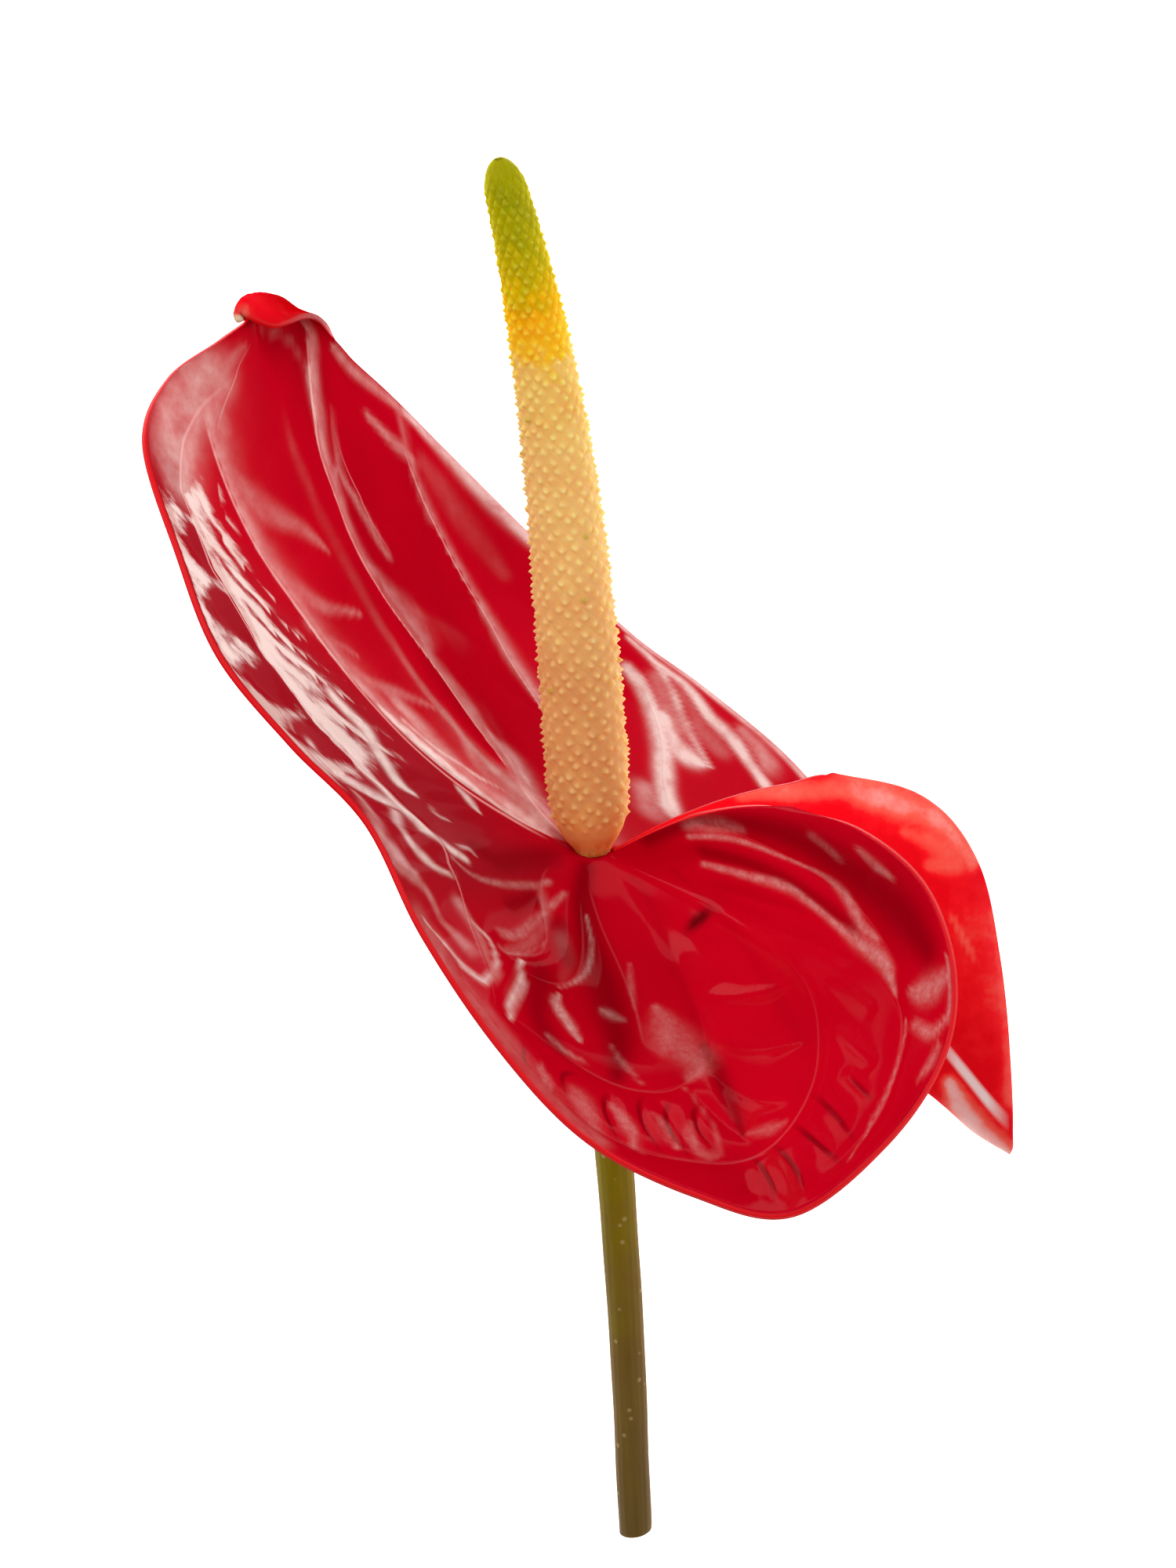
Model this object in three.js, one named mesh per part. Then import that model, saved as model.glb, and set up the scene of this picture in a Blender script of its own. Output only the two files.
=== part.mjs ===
// A cut anthurium stem lying on a level surface, in millimetres with +Z up.
//
// The bloom is three grown pieces: a leathery heart-shaped spathe, a tapering spadix covered with
// florets, and the round peduncle that carries both. The stem lies as it was put down: the lower
// edge of the spathe touches the surface at two places, and the cut end of the peduncle at a third.
//
// Everything is laid out from one point, the node, where the peduncle ends and the spathe and the
// spadix begin. +Y runs along the stem towards the spadix, and the spathe stands across it, one
// half up and the other half down. The finished group is moved so that its origin lies on the
// surface, under the middle of the whole stem.

import * as THREE from 'three';

// ---- driving dimensions -------------------------------------------------------------------

const NODE_HEIGHT = 43; // from the surface up to the node
const SHEET = 0.8; // thickness of the spathe
const FIT = 0.3; // clearance left between two grown pieces that touch

const COLLAR_RADIUS = 2.8; // ring where the spathe clasps the stem

const STEM_RADIUS_TOP = 2.5;
const STEM_RADIUS_CUT = 2.15;
const STEM_CUT_SLANT = 0.12; // how far the cut leans off square, mm per mm

const FLORET_PITCH = 1.13; // from one row of florets to the next
const FLORETS_ROUND = 14; // florets in one row
const FLORET_RISE = 0.34; // height of a floret over the furrows between them

// ---- the spathe's edge ----------------------------------------------------------------------

// Stations along the free edge, from the sinus round the near lobe, up the near side to the tip,
// down the far side and round the far lobe back to the sinus: x, y, z from the node.
const EDGE = [
  [24.8, 5.8, 19.0], // crest of the near lobe
  [33.4, 3.0, 25.0],
  [41.0, -3.8, 31.0],
  [44.3, -14.3, 37.0], // end of the near lobe
  [42.7, -24.8, 41.0],
  [35.6, -35.2, 43.5],
  [24.2, -43.8, 43.5], // foot of the near lobe
  [12.2, -41.4, 42.0],
  [-0.7, -34.9, 40.5],
  [-11.3, -23.9, 39.0],
  [-20.9, -9.8, 38.0],
  [-27.9, 4.0, 36.0], // shallow notch in the near side
  [-37.3, 13.8, 36.0],
  [-46.2, 24.7, 35.0],
  [-51.4, 37.4, 31.5],
  [-55.9, 51.3, 24.0], // near shoulder
  [-53.4, 59.8, 14.5],
  [-47.3, 65.0, 7.0],
  [-43.6, 68.3, 2.5],
  [-42.6, 69.0, 0.0], // tip
  [-40.2, 67.4, -4.5],
  [-36.4, 66.2, -12.0],
  [-31.6, 64.1, -24.0],
  [-26.6, 59.6, -36.0], // far shoulder
  [-19.5, 52.6, -42.5], // first point that rests on the surface
  [-7.5, 40.6, -42.0],
  [4.5, 28.8, -41.5],
  [14.9, 21.1, -41.5],
  [26.4, 11.4, -42.0],
  [35.3, -0.1, -42.5], // second point that rests on the surface
  [41.3, -13.0, -37.0],
  [46.4, -25.4, -27.0],
  [51.4, -31.9, -18.0],
  [54.0, -38.6, -12.0], // end of the far lobe
  [53.3, -26.4, -6.0],
  [51.7, -13.2, -1.0],
  [48.7, -1.2, 3.0],
  [42.1, 6.6, 5.5],
  [31.1, 9.5, 6.2], // crest of the far lobe
];
const LAST = EDGE.length - 1;

// How far the middle of the blade hangs away from a straight line between node and edge:
// station, then x, y, z. The near lobe is cupped and the blade is a trough along its midrib.
const BOW = [
  [0, 0.5, 2.3, 2],
  [1, 0.5, 1, 0],
  [3, 2, -2, -5],
  [6, 2, 0, -6],
  [9, 0, 1, -6],
  [11, -2, -1.5, -4],
  [14, -4, -2.5, -2.5],
  [17, -5.2, -3.2, -3],
  [21, -5.4, -3.4, -3.3],
  [24, -3.5, -2.2, -2],
  [27, -2, -1.5, -1],
  [30, 0, 0, 0],
  [33, 0, 0, 1],
  [36, 0, 0.5, 2.5],
  [LAST, -0.3, 2, 1.6],
];

// How far the blade swells past its edge before it turns back to it: the hood at the tip, the
// rolled far side, the turned-up hem of the far lobe and its rounded crest.
const ROLL = [
  [0, 0, 0, 0],
  [16, 0, 0, 0],
  [17, 0, 0, 0],
  [18, 0, 0.4, 0],
  [19, -1.2, 5.2, -1.2],
  [20, -0.8, 8.7, -3],
  [21, 0.6, 6.6, -2],
  [22, 0.2, 1.4, -1],
  [23, 0.5, 0.3, 0.2],
  [25, 0.9, 0.6, 0.3],
  [27, 0.6, 0.4, 0.3],
  [29, 0, 0, 0],
  [30, 0, 0, 0],
  [31, -1.2, -3, -1],
  [32, -1, -3.2, -1],
  [33, 0, 0, 0],
  [34, 0.5, 0, 0.8],
  [37, 0.4, 0.8, 0.8],
  [LAST, 0.2, 0.6, 0.5],
];
const ROLL_START = 0.78; // share of the way out at which the roll begins
const ROLL_PEAK = 27 / 4; // makes the highest value of u * u * (1 - u) one

// The claw at the tip, drawn out of the last of the blade.
const CLAW = [
  [0, 0, 0, 0],
  [18, 0, 0, 0],
  [19, -3, -1.4, 6],
  [20, -1.2, -1, 8.5],
  [21, -0.4, 0, 9],
  [22, 0, 0, 2],
  [23, 0, 0, 0],
  [LAST, 0, 0, 0],
];

// Rows of the blade as shares of the way from collar to edge, close together where it rolls.
const ROWS = [0, 0.06, 0.14, 0.25, 0.37, 0.5, 0.62, 0.72, 0.8, 0.85, 0.89, 0.925, 0.955, 0.98, 1];
const COLUMNS = 3 * LAST;

// Where the ray of a station leaves the collar: station, then degrees round the stem.
const COLLAR = [
  [0, -24],
  [3, -40],
  [6, -66],
  [9, -104],
  [12, -142],
  [15, -177],
  [17, -200],
  [20, -219],
  [22, -237],
  [24, -254],
  [26, -276],
  [28, -301],
  [30, -324],
  [32, -343],
  [35, -353],
  [LAST, -361],
];

// ---- curves -----------------------------------------------------------------------------------

const vector = ([x, y, z]) => new THREE.Vector3(x, y, z);

// A smooth curve through a list of vectors, read at a station number that need not be whole.
function along(list, station) {
  const last = list.length - 1;
  const i = Math.min(Math.floor(station), last - 1);
  const f = station - i;
  const before = i > 0 ? list[i - 1] : list[0].clone().multiplyScalar(2).sub(list[1]);
  const after = i + 2 <= last ? list[i + 2] : list[last].clone().multiplyScalar(2).sub(list[last - 1]);
  const leave = list[i + 1].clone().sub(before).multiplyScalar(0.5);
  const arrive = after.clone().sub(list[i]).multiplyScalar(0.5);
  const f2 = f * f;
  const f3 = f2 * f;
  return new THREE.Vector3()
    .addScaledVector(list[i], 2 * f3 - 3 * f2 + 1)
    .addScaledVector(leave, f3 - 2 * f2 + f)
    .addScaledVector(list[i + 1], 3 * f2 - 2 * f3)
    .addScaledVector(arrive, f3 - f2);
}

// One vector for each station, from rows of station, x, y, z with straight steps between them.
function atEveryStation(rows) {
  return EDGE.map((unused, station) => {
    const next = Math.max(1, rows.findIndex((row) => row[0] >= station));
    const [from, to] = [rows[next - 1], rows[next]];
    const share = (station - from[0]) / (to[0] - from[0]);
    return vector(from.slice(1)).lerp(vector(to.slice(1)), share);
  });
}

const edge = EDGE.map(vector);
const bow = atEveryStation(BOW);
const roll = atEveryStation(ROLL);
const claw = atEveryStation(CLAW);

// ---- the spathe -------------------------------------------------------------------------------

// The spadix leaves the node along this direction, and the collar lies square to it.
const spadixWay = new THREE.Vector3(-0.06, 0.92, 0.38).normalize();
const collarX = new THREE.Vector3(1, 0, 0).projectOnPlane(spadixWay).normalize();
const collarY = new THREE.Vector3().crossVectors(spadixWay, collarX);
const collarTurn = profile(COLLAR);

function collarPoint(station) {
  const turn = THREE.MathUtils.degToRad(collarTurn(station));
  return new THREE.Vector3()
    .addScaledVector(collarX, COLLAR_RADIUS * Math.cos(turn))
    .addScaledVector(collarY, COLLAR_RADIUS * Math.sin(turn));
}

// The middle of the sheet: a ray runs from the collar to the edge, hangs by the bow half way
// out, swells by the roll near the edge and is drawn into the claw at its end.
function spathePoint(station, share) {
  const u = Math.max(0, (share - ROLL_START) / (1 - ROLL_START));
  return collarPoint(station)
    .lerp(along(edge, station), share)
    .addScaledVector(along(bow, station), 4 * share * (1 - share))
    .addScaledVector(along(roll, station), ROLL_PEAK * u * u * (1 - u))
    .addScaledVector(along(claw, station), u ** 4);
}

// Square to the sheet, away from its glossy front.
function spatheNormal(station, share) {
  const step = 0.3;
  const reach = 0.012;
  const s = THREE.MathUtils.clamp(station, step, LAST - step);
  const t = THREE.MathUtils.clamp(share, reach, 1 - reach);
  const outward = spathePoint(s, t + reach).sub(spathePoint(s, t - reach));
  const onward = spathePoint(s + step, t).sub(spathePoint(s - step, t));
  return outward.cross(onward).normalize();
}

function spatheGeometry() {
  const rows = ROWS.length;
  const columns = COLUMNS + 1;
  const positions = [];
  for (const side of [0.5, -0.5]) {
    for (let i = 0; i < columns; i += 1) {
      const station = (i * LAST) / COLUMNS;
      for (const share of ROWS) {
        const point = spathePoint(station, share);
        point.addScaledVector(spatheNormal(station, share), side * SHEET);
        positions.push(point.x, point.y, point.z);
      }
    }
  }
  const back = (i, j) => i * rows + j;
  const front = (i, j) => (columns + i) * rows + j;
  const index = [];
  const quad = (a, b, c, d) => index.push(a, b, c, a, c, d);
  for (let i = 0; i < columns - 1; i += 1) {
    for (let j = 0; j < rows - 1; j += 1) {
      quad(back(i, j), back(i, j + 1), back(i + 1, j + 1), back(i + 1, j));
      index.push(front(i, j), front(i + 1, j + 1), front(i, j + 1));
      index.push(front(i, j), front(i + 1, j), front(i + 1, j + 1));
    }
    quad(back(i, 0), back(i + 1, 0), front(i + 1, 0), front(i, 0));
    quad(back(i + 1, rows - 1), back(i, rows - 1), front(i, rows - 1), front(i + 1, rows - 1));
  }
  for (let j = 0; j < rows - 1; j += 1) {
    const end = columns - 1;
    quad(back(0, j + 1), back(0, j), front(0, j), front(0, j + 1));
    quad(back(end, j), back(end, j + 1), front(end, j + 1), front(end, j));
  }
  return closedGeometry(positions, index);
}

function closedGeometry(positions, index) {
  const geometry = new THREE.BufferGeometry();
  geometry.setAttribute('position', new THREE.Float32BufferAttribute(positions, 3));
  geometry.setIndex(index);
  geometry.computeVertexNormals();
  return geometry;
}

// ---- round bodies -----------------------------------------------------------------------------

// A closed round body along a curve. radiusAt takes the length run along the curve, the row and
// the side number, and slantAt moves a point along the curve by its place round the section.
function roundBody(curve, rows, sides, radiusAt, slant = () => 0) {
  const frames = curve.computeFrenetFrames(rows, false);
  const length = curve.getLength();
  const positions = [];
  for (let i = 0; i <= rows; i += 1) {
    const centre = curve.getPointAt(i / rows);
    for (let k = 0; k < sides; k += 1) {
      const turn = (2 * Math.PI * k) / sides;
      const radius = radiusAt((i * length) / rows, i, k);
      const point = centre
        .clone()
        .addScaledVector(frames.normals[i], radius * Math.cos(turn))
        .addScaledVector(frames.binormals[i], radius * Math.sin(turn))
        .addScaledVector(frames.tangents[i], slant(i) * radius * Math.cos(turn));
      positions.push(point.x, point.y, point.z);
    }
  }
  const first = curve.getPointAt(0);
  const last = curve.getPointAt(1);
  positions.push(first.x, first.y, first.z, last.x, last.y, last.z);
  const start = (rows + 1) * sides;
  const index = [];
  for (let k = 0; k < sides; k += 1) {
    const next = (k + 1) % sides;
    index.push(start, next, k);
    index.push(start + 1, rows * sides + k, rows * sides + next);
    for (let i = 0; i < rows; i += 1) {
      const [a, b] = [i * sides + k, i * sides + next];
      const [c, d] = [b + sides, a + sides];
      if ((i + k) % 2 === 0) index.push(a, b, d, b, c, d);
      else index.push(a, b, c, a, c, d);
    }
  }
  return closedGeometry(positions, index);
}

// A value that runs smoothly through the listed lengths and values.
function profile(points) {
  return (length) => {
    const next = points.findIndex(([at]) => at >= length);
    if (next < 0) return points[points.length - 1][1];
    if (next === 0) return points[0][1];
    const [[x0, y0], [x1, y1]] = [points[next - 1], points[next]];
    return y0 + ((y1 - y0) * (length - x0)) / (x1 - x0);
  };
}

// ---- the spadix -------------------------------------------------------------------------------

// Its centre line from the node to the tip, leaning towards the tip of the spathe.
const SPADIX_LINE = [
  spadixWay.clone().multiplyScalar(FIT / 2),
  new THREE.Vector3(-0.5, 5.8, 2.2),
  new THREE.Vector3(-1.2, 15.7, 6.2),
  new THREE.Vector3(-2.4, 30.5, 12.2),
  new THREE.Vector3(-4.0, 46.1, 18.4),
  new THREE.Vector3(-6.3, 61.5, 24.6),
  new THREE.Vector3(-8.8, 74.8, 30.2),
  new THREE.Vector3(-11.4, 85.9, 34.9),
];

const spadixCurve = new THREE.CatmullRomCurve3(SPADIX_LINE);
const spadixLength = spadixCurve.getLength();
const TIP_LENGTH = 4.5; // the rounded end of the spadix

// Radius by length from the node: the bare stipe, the blunt foot and the long taper.
const taper = profile([
  [0, 1.9],
  [1, 2.2],
  [2, 2.9],
  [3, 3.7],
  [4.2, 4.4],
  [6, 4.85],
  [10, 5.1],
  [25, 5.05],
  [40, 4.75],
  [55, 4.25],
  [70, 3.6],
  [82, 2.95],
  [spadixLength, 2.4],
]);

function spadixRadius(length) {
  const u = Math.max(0, (length - spadixLength + TIP_LENGTH) / TIP_LENGTH);
  return taper(length) * Math.sqrt(1 - 0.97 * u * u);
}

// Florets cover the spadix from the foot up, and run out in the young green tip.
const floretShare = profile([
  [0, 0],
  [2.5, 0],
  [6, 1],
  [66, 1],
  [80, 0.5],
  [88, 0.25],
  [spadixLength, 0],
]);

function spadixGeometry() {
  const rows = Math.round(spadixLength / FLORET_PITCH);
  const sides = 2 * FLORETS_ROUND;
  return roundBody(spadixCurve, rows, sides, (length, i, k) => {
    const raised = (i + k) % 2 === 0 ? 0.5 : -0.5;
    return spadixRadius(length) + raised * FLORET_RISE * floretShare(length);
  });
}

// ---- the peduncle -----------------------------------------------------------------------------

const STEM_SLOPE = 0.42; // fall for each millimetre along the stem, towards the cut end
const cutHeight = -NODE_HEIGHT + STEM_RADIUS_CUT / Math.hypot(1, STEM_SLOPE);

const STEM_LINE = [
  new THREE.Vector3(5.6, -90.3, cutHeight),
  new THREE.Vector3(4.3, -62.3, -28.4),
  new THREE.Vector3(2.6, -38.4, -18.2),
  new THREE.Vector3(1.0, -16.4, -8.6),
  new THREE.Vector3(0.2, -3.4, -1.9),
  spadixWay.clone().multiplyScalar(-FIT / 2),
];

function stemGeometry() {
  const curve = new THREE.CatmullRomCurve3(STEM_LINE);
  const length = curve.getLength();
  // the stem thickens a little into the node, and a neck of it stands in the collar
  const radiusAt = profile([
    [0, STEM_RADIUS_CUT],
    [0.5 * length, 2.4],
    [length - 14, STEM_RADIUS_TOP],
    [length - 5, 2.75],
    [length - 2.2, 2.7],
    [length - 1.2, 1.95],
    [length, 1.9],
  ]);
  const rows = 34;
  return roundBody(curve, rows, 12, radiusAt, (i) => (i === 0 ? STEM_CUT_SLANT : 0));
}

// ---- the cut stem -----------------------------------------------------------------------------

function piece(name, geometry, colour, roughness) {
  const material = new THREE.MeshStandardMaterial({ color: colour, roughness, metalness: 0 });
  const mesh = new THREE.Mesh(geometry, material);
  mesh.name = name;
  return mesh;
}

const group = new THREE.Group();
group.add(piece('peduncle', stemGeometry(), 0x6d6a35, 0.55));
group.add(piece('spathe', spatheGeometry(), 0xc80c1c, 0.22));
group.add(piece('spadix', spadixGeometry(), 0xe3bb5c, 0.6));

const box = new THREE.Box3().setFromObject(group);
const middle = box.getCenter(new THREE.Vector3());
group.position.set(-middle.x, -middle.y, -box.min.z);

export default group;
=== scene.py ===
# A cut anthurium stem on a pale surface: the green flower stalk, one leathery red spathe with
# raised heart-shaped lobes and a hooked tip, and a tapering spadix set with small florets.

from functools import partial

import bpy
import numpy as np
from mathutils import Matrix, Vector


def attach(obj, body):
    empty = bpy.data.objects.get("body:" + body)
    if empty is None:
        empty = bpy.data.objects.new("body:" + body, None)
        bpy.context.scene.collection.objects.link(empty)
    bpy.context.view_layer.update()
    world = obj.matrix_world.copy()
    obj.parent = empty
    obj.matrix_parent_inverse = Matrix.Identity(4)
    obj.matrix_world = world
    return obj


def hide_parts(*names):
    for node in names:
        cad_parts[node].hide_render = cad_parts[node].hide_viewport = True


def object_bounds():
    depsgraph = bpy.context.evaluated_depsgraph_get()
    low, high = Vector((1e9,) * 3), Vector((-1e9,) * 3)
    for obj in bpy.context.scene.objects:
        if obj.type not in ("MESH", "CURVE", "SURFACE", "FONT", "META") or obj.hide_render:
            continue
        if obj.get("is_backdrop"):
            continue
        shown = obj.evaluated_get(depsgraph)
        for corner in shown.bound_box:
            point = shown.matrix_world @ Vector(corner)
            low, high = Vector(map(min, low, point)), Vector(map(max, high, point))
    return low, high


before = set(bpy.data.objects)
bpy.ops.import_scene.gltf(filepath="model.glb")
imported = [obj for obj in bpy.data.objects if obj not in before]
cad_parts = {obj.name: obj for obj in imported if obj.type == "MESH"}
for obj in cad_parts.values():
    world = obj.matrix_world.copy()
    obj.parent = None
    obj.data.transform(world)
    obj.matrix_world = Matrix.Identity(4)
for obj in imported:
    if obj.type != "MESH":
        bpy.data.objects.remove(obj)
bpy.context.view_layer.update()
bpy.ops.object.select_all(action="DESELECT")

# ---- peduncle --------------------------------------------------------------------------------
# The flower stalk, grown in one with the bloom: a round, solid, fibrous stem, olive green near
# the node and browner towards its end, where a knife cut it a little off square.

MM = 0.001
NODE = np.array((1.04, 2.55, 43.01))  # mm from the part's origin to where the three pieces meet
SPADIX_WAY = np.array((-0.06, 0.92, 0.38)) / np.linalg.norm((-0.06, 0.92, 0.38))

STEM_LINE = np.array([  # centre line in mm from the node, cut end first
    (5.6, -90.3, -41.02),
    (4.3, -62.3, -28.4),
    (2.6, -38.4, -18.2),
    (1, -16.4, -8.6),
    (0.2, -3.4, -1.9),
    -0.15 * SPADIX_WAY,
])
STEM_SIDES = 56
STEM_STEP = 0.4  # mm between rows along the stem
STEM_CUT_RADIUS = 2.15
STEM_CUT_SLANT = 0.12  # mm of lean for each mm across the cut
STEM_CUT_SINK = 0.25  # how far the cut's soft middle has dried back below its rim
STEM_CUT_ROWS = 7  # rings of points across the cut
STEM_CUT_RIM = 0.12  # mm by which the cut's last ring stays inside the skin
STEM_RIBS = 17  # faint lengthwise ribs
STEM_RIB_RISE = 0.035
STEM_SWELL_RISE = 0.05  # slow unevenness along the stem
LINE_SAMPLES = 800  # places at which the length of a line is added up
NUDGE = 0.02  # of a station, on either side of a place, to read which way a line runs


def along(points, station):
    """Reads the smooth curve through points at station numbers that need not be whole."""
    station = np.asarray(station, float)
    first = np.clip(np.floor(station).astype(int), 0, len(points) - 2)
    f = (station - first)[..., None]
    padded = np.vstack([2 * points[0] - points[1], points, 2 * points[-1] - points[-2]])
    before, start, end, after = (padded[first + k] for k in range(4))
    return (
        start * (2 * f**3 - 3 * f**2 + 1)
        + (end - before) / 2 * (f**3 - 2 * f**2 + f)
        + end * (3 * f**2 - 2 * f**3)
        + (after - start) / 2 * (f**3 - f**2)
    )


def line_length(line):
    """Returns station numbers along a smooth line and the length run up to each."""
    stations = np.linspace(0, len(line) - 1, LINE_SAMPLES)
    steps = np.linalg.norm(np.diff(along(line, stations), axis=0), axis=1)
    return stations, np.concatenate([[0], np.cumsum(steps)])


def unit_sheet(name, across, forward):
    """Adds a fine grid and returns it with each point's shares across and forward, 0 to 1."""
    bpy.ops.mesh.primitive_grid_add(x_subdivisions=across, y_subdivisions=forward, size=1)
    piece = bpy.context.object
    piece.name = piece.data.name = name
    flat = np.empty(3 * len(piece.data.vertices))
    piece.data.vertices.foreach_get("co", flat)
    shares = flat.reshape(-1, 3)[:, :2] + 0.5
    return piece, shares[:, 0], shares[:, 1]


def place_points(piece, points):
    """Moves the piece's points to places in mm from the node."""
    piece.data.vertices.foreach_set("co", ((points + NODE) * MM).ravel())
    piece.data.update()


def paint(piece, name, values):
    """Keeps one number for each point of the piece, for its material to read."""
    layer = piece.data.attributes.new(name, "FLOAT", "POINT")
    layer.data.foreach_set("value", np.asarray(values, np.float32))


def close_up():
    """Joins the new piece's points that lie on each other and turns all its faces outwards."""
    bpy.ops.object.mode_set(mode="EDIT")
    bpy.ops.mesh.select_all(action="SELECT")
    bpy.ops.mesh.remove_doubles(threshold=1e-6)
    bpy.ops.mesh.normals_make_consistent(inside=False)
    bpy.ops.mesh.select_all(action="DESELECT")
    bpy.ops.object.mode_set(mode="OBJECT")
    bpy.ops.object.shade_smooth()
    bpy.ops.object.select_all(action="DESELECT")


def round_piece(name, line, lengths, radii, sides, relief):
    """Adds a closed round body along a line. Its rows have lengths and radii, and relief gives
    the height over them at a length, turn and row, and how far the point leans forward."""
    rows = len(lengths) - 1
    piece, across, forward = unit_sheet(name, sides, rows)
    row = np.rint(forward * rows).astype(int)
    length, turn = lengths[row], 2 * np.pi * across
    height, lean = relief(length, turn, row)
    stations, run = line_length(line)
    at = np.interp(length, run, stations)
    ahead = along(line, at + NUDGE) - along(line, at - NUDGE)
    ahead /= np.linalg.norm(ahead, axis=1, keepdims=True)
    right = np.cross(ahead, (0, 0, 1))
    right /= np.linalg.norm(right, axis=1, keepdims=True)
    up = np.cross(right, ahead)
    radius = (radii[row] + height)[:, None]
    out = right * np.cos(turn)[:, None] + up * np.sin(turn)[:, None]
    place_points(piece, along(line, at) + out * radius + ahead * lean[:, None])
    return piece, length, turn, row


def linear(code):
    """Turns a colour written as sRGB hex into the linear values that a shader takes."""
    parts = [int(code[i : i + 2], 16) / 255 for i in (1, 3, 5)]
    return (*(c / 12.92 if c <= 0.04045 else ((c + 0.055) / 1.055) ** 2.4 for c in parts), 1)


def add_node(tree, kind, inputs=(), stops=(), **settings):
    """Adds a node. inputs maps its sockets to values, to sockets that feed them, or to nodes that
    feed them by their first output, and stops are a colour ramp's places and colours."""
    made = tree.nodes.new("ShaderNode" + kind)
    for name, value in settings.items():
        setattr(made, name, value)
    for name, value in dict(inputs).items():
        if isinstance(value, bpy.types.Node):
            value = value.outputs[0]
        if isinstance(value, bpy.types.NodeSocket):
            tree.links.new(value, made.inputs[name])
        else:
            made.inputs[name].default_value = value
    for index, (place, colour) in enumerate(stops):
        ramp = made.color_ramp.elements
        stop = ramp[index] if index < min(2, len(stops)) else ramp.new(place)
        stop.position, stop.color = place, linear(colour)
    return made


def new_finish(piece, name, *painted):
    """Starts a material on the piece. Returns the function that adds nodes to it, the places of
    the piece's points, and the values painted on them that the material reads."""
    material = bpy.data.materials.new(name)
    material.use_nodes = True
    material.node_tree.nodes.clear()
    piece.data.materials.append(material)
    add = partial(add_node, material.node_tree)
    values = [add("Attribute", attribute_name=value).outputs["Fac"] for value in painted]
    return add, add("TexCoord").outputs["Object"], *values


stem_length = line_length(STEM_LINE)[1][-1]
cut_rows = np.linspace(0, STEM_CUT_RADIUS - STEM_CUT_RIM, STEM_CUT_ROWS)
stem_rows = np.arange(0.15, stem_length, STEM_STEP)
stem_profile = np.array([  # length from the cut, and radius
    (0.15, STEM_CUT_RADIUS),
    (0.5 * stem_length, 2.4),
    (stem_length - 14, 2.5),
    (stem_length - 5, 2.75),
    (stem_length - 2.2, 2.7),
    (stem_length - 1.2, 1.95),
    (stem_length, 1.9),
])
lengths = np.concatenate([np.zeros(STEM_CUT_ROWS), stem_rows, [stem_length, stem_length]])
radii = np.interp(lengths[STEM_CUT_ROWS:-1], *stem_profile.T)
radii = np.concatenate([cut_rows, radii, [0]])


def stem_relief(length, turn, row):
    """The height of ribs and swellings on the skin, and how far the cut face leans and sinks."""
    rib = STEM_RIB_RISE * np.cos(STEM_RIBS * turn + 0.05 * length)
    swell = STEM_SWELL_RISE * np.sin(0.31 * length + np.cos(turn)) * np.sin(0.07 * length + 1)
    skin = np.clip((row - STEM_CUT_ROWS + 1) / 3, 0, 1) * (row < len(lengths) - 1)
    inward = np.clip(2 - 2 * radii[row] / STEM_CUT_RADIUS, 0, 1)
    lean = STEM_CUT_SLANT * radii[row] * np.cos(turn) * (row < STEM_CUT_ROWS + 2)
    return (rib + swell) * skin, lean + STEM_CUT_SINK * inward * (row < STEM_CUT_ROWS)


peduncle, length, turn, row = round_piece(
    "peduncle_stem", STEM_LINE, lengths, radii, STEM_SIDES, stem_relief
)
paint(peduncle, "cut_face", row < STEM_CUT_ROWS)
paint(peduncle, "height", length / stem_length)
close_up()

# Fresh plant skin: waxy and satin, green over brown, with pale pores and a fibre grain along it.
add, place, height, cut_face = new_finish(peduncle, "waxy green stem skin", "height", "cut_face")
lying = add(  # fibres 1 mm apart and 20 mm long
    "Mapping",
    {"Vector": place, "Rotation": (0.43, 0, 0.05), "Scale": (0.0011, 0.022, 0.0011)},
    vector_type="TEXTURE",
)
fibres = add("TexNoise", {"Vector": lying, "Scale": 1, "Detail": 4, "Roughness": 0.6})
clouds = add("TexNoise", {"Vector": place, "Scale": 160, "Detail": 3})  # 6 mm across
# pores 2.4 mm apart, drawn coarser than they are so that they show
pores = add("TexVoronoi", {"Vector": place, "Scale": 420})
pore = add("ValToRGB", {"Fac": pores}, stops=[(0.1, "#ffffff"), (0.17, "#000000")])
mixed = add("Math", {0: clouds, 1: 0.35, 2: height}, operation="MULTIPLY_ADD")
skin = add(
    "ValToRGB", {"Fac": mixed},
    stops=[(0.15, "#634e26"), (0.45, "#6e5722"), (0.75, "#786c04"), (0.92, "#7c8800")],
)
grained = add("MixRGB", {"Fac": 0.35, "Color1": skin, "Color2": fibres}, blend_type="OVERLAY")
spots = add("Math", {0: pore, 1: 0.4}, operation="MULTIPLY")
spotted = add("MixRGB", {"Fac": spots, "Color1": grained, "Color2": linear("#b7a878")})
pith = add("ValToRGB", {"Fac": pores}, stops=[(0, "#6f6a3a"), (0.3, "#b9ae7c"), (0.8, "#cfc598")])
stem_colour = add("MixRGB", {"Fac": cut_face, "Color1": spotted, "Color2": pith})
grain = add("Bump", {"Height": fibres, "Strength": 0.25, "Distance": 0.0002})
bumps = add("Bump", {"Height": pore, "Normal": grain, "Strength": 0.3, "Distance": 0.0001})
shader = add(
    "BsdfPrincipled",
    {"Base Color": stem_colour, "Normal": bumps, "Roughness": 0.5, "IOR": 1.42,
     "Specular IOR Level": 0.08},
)
add("OutputMaterial", {"Surface": shader})

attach(peduncle, "root")
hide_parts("peduncle")

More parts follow.
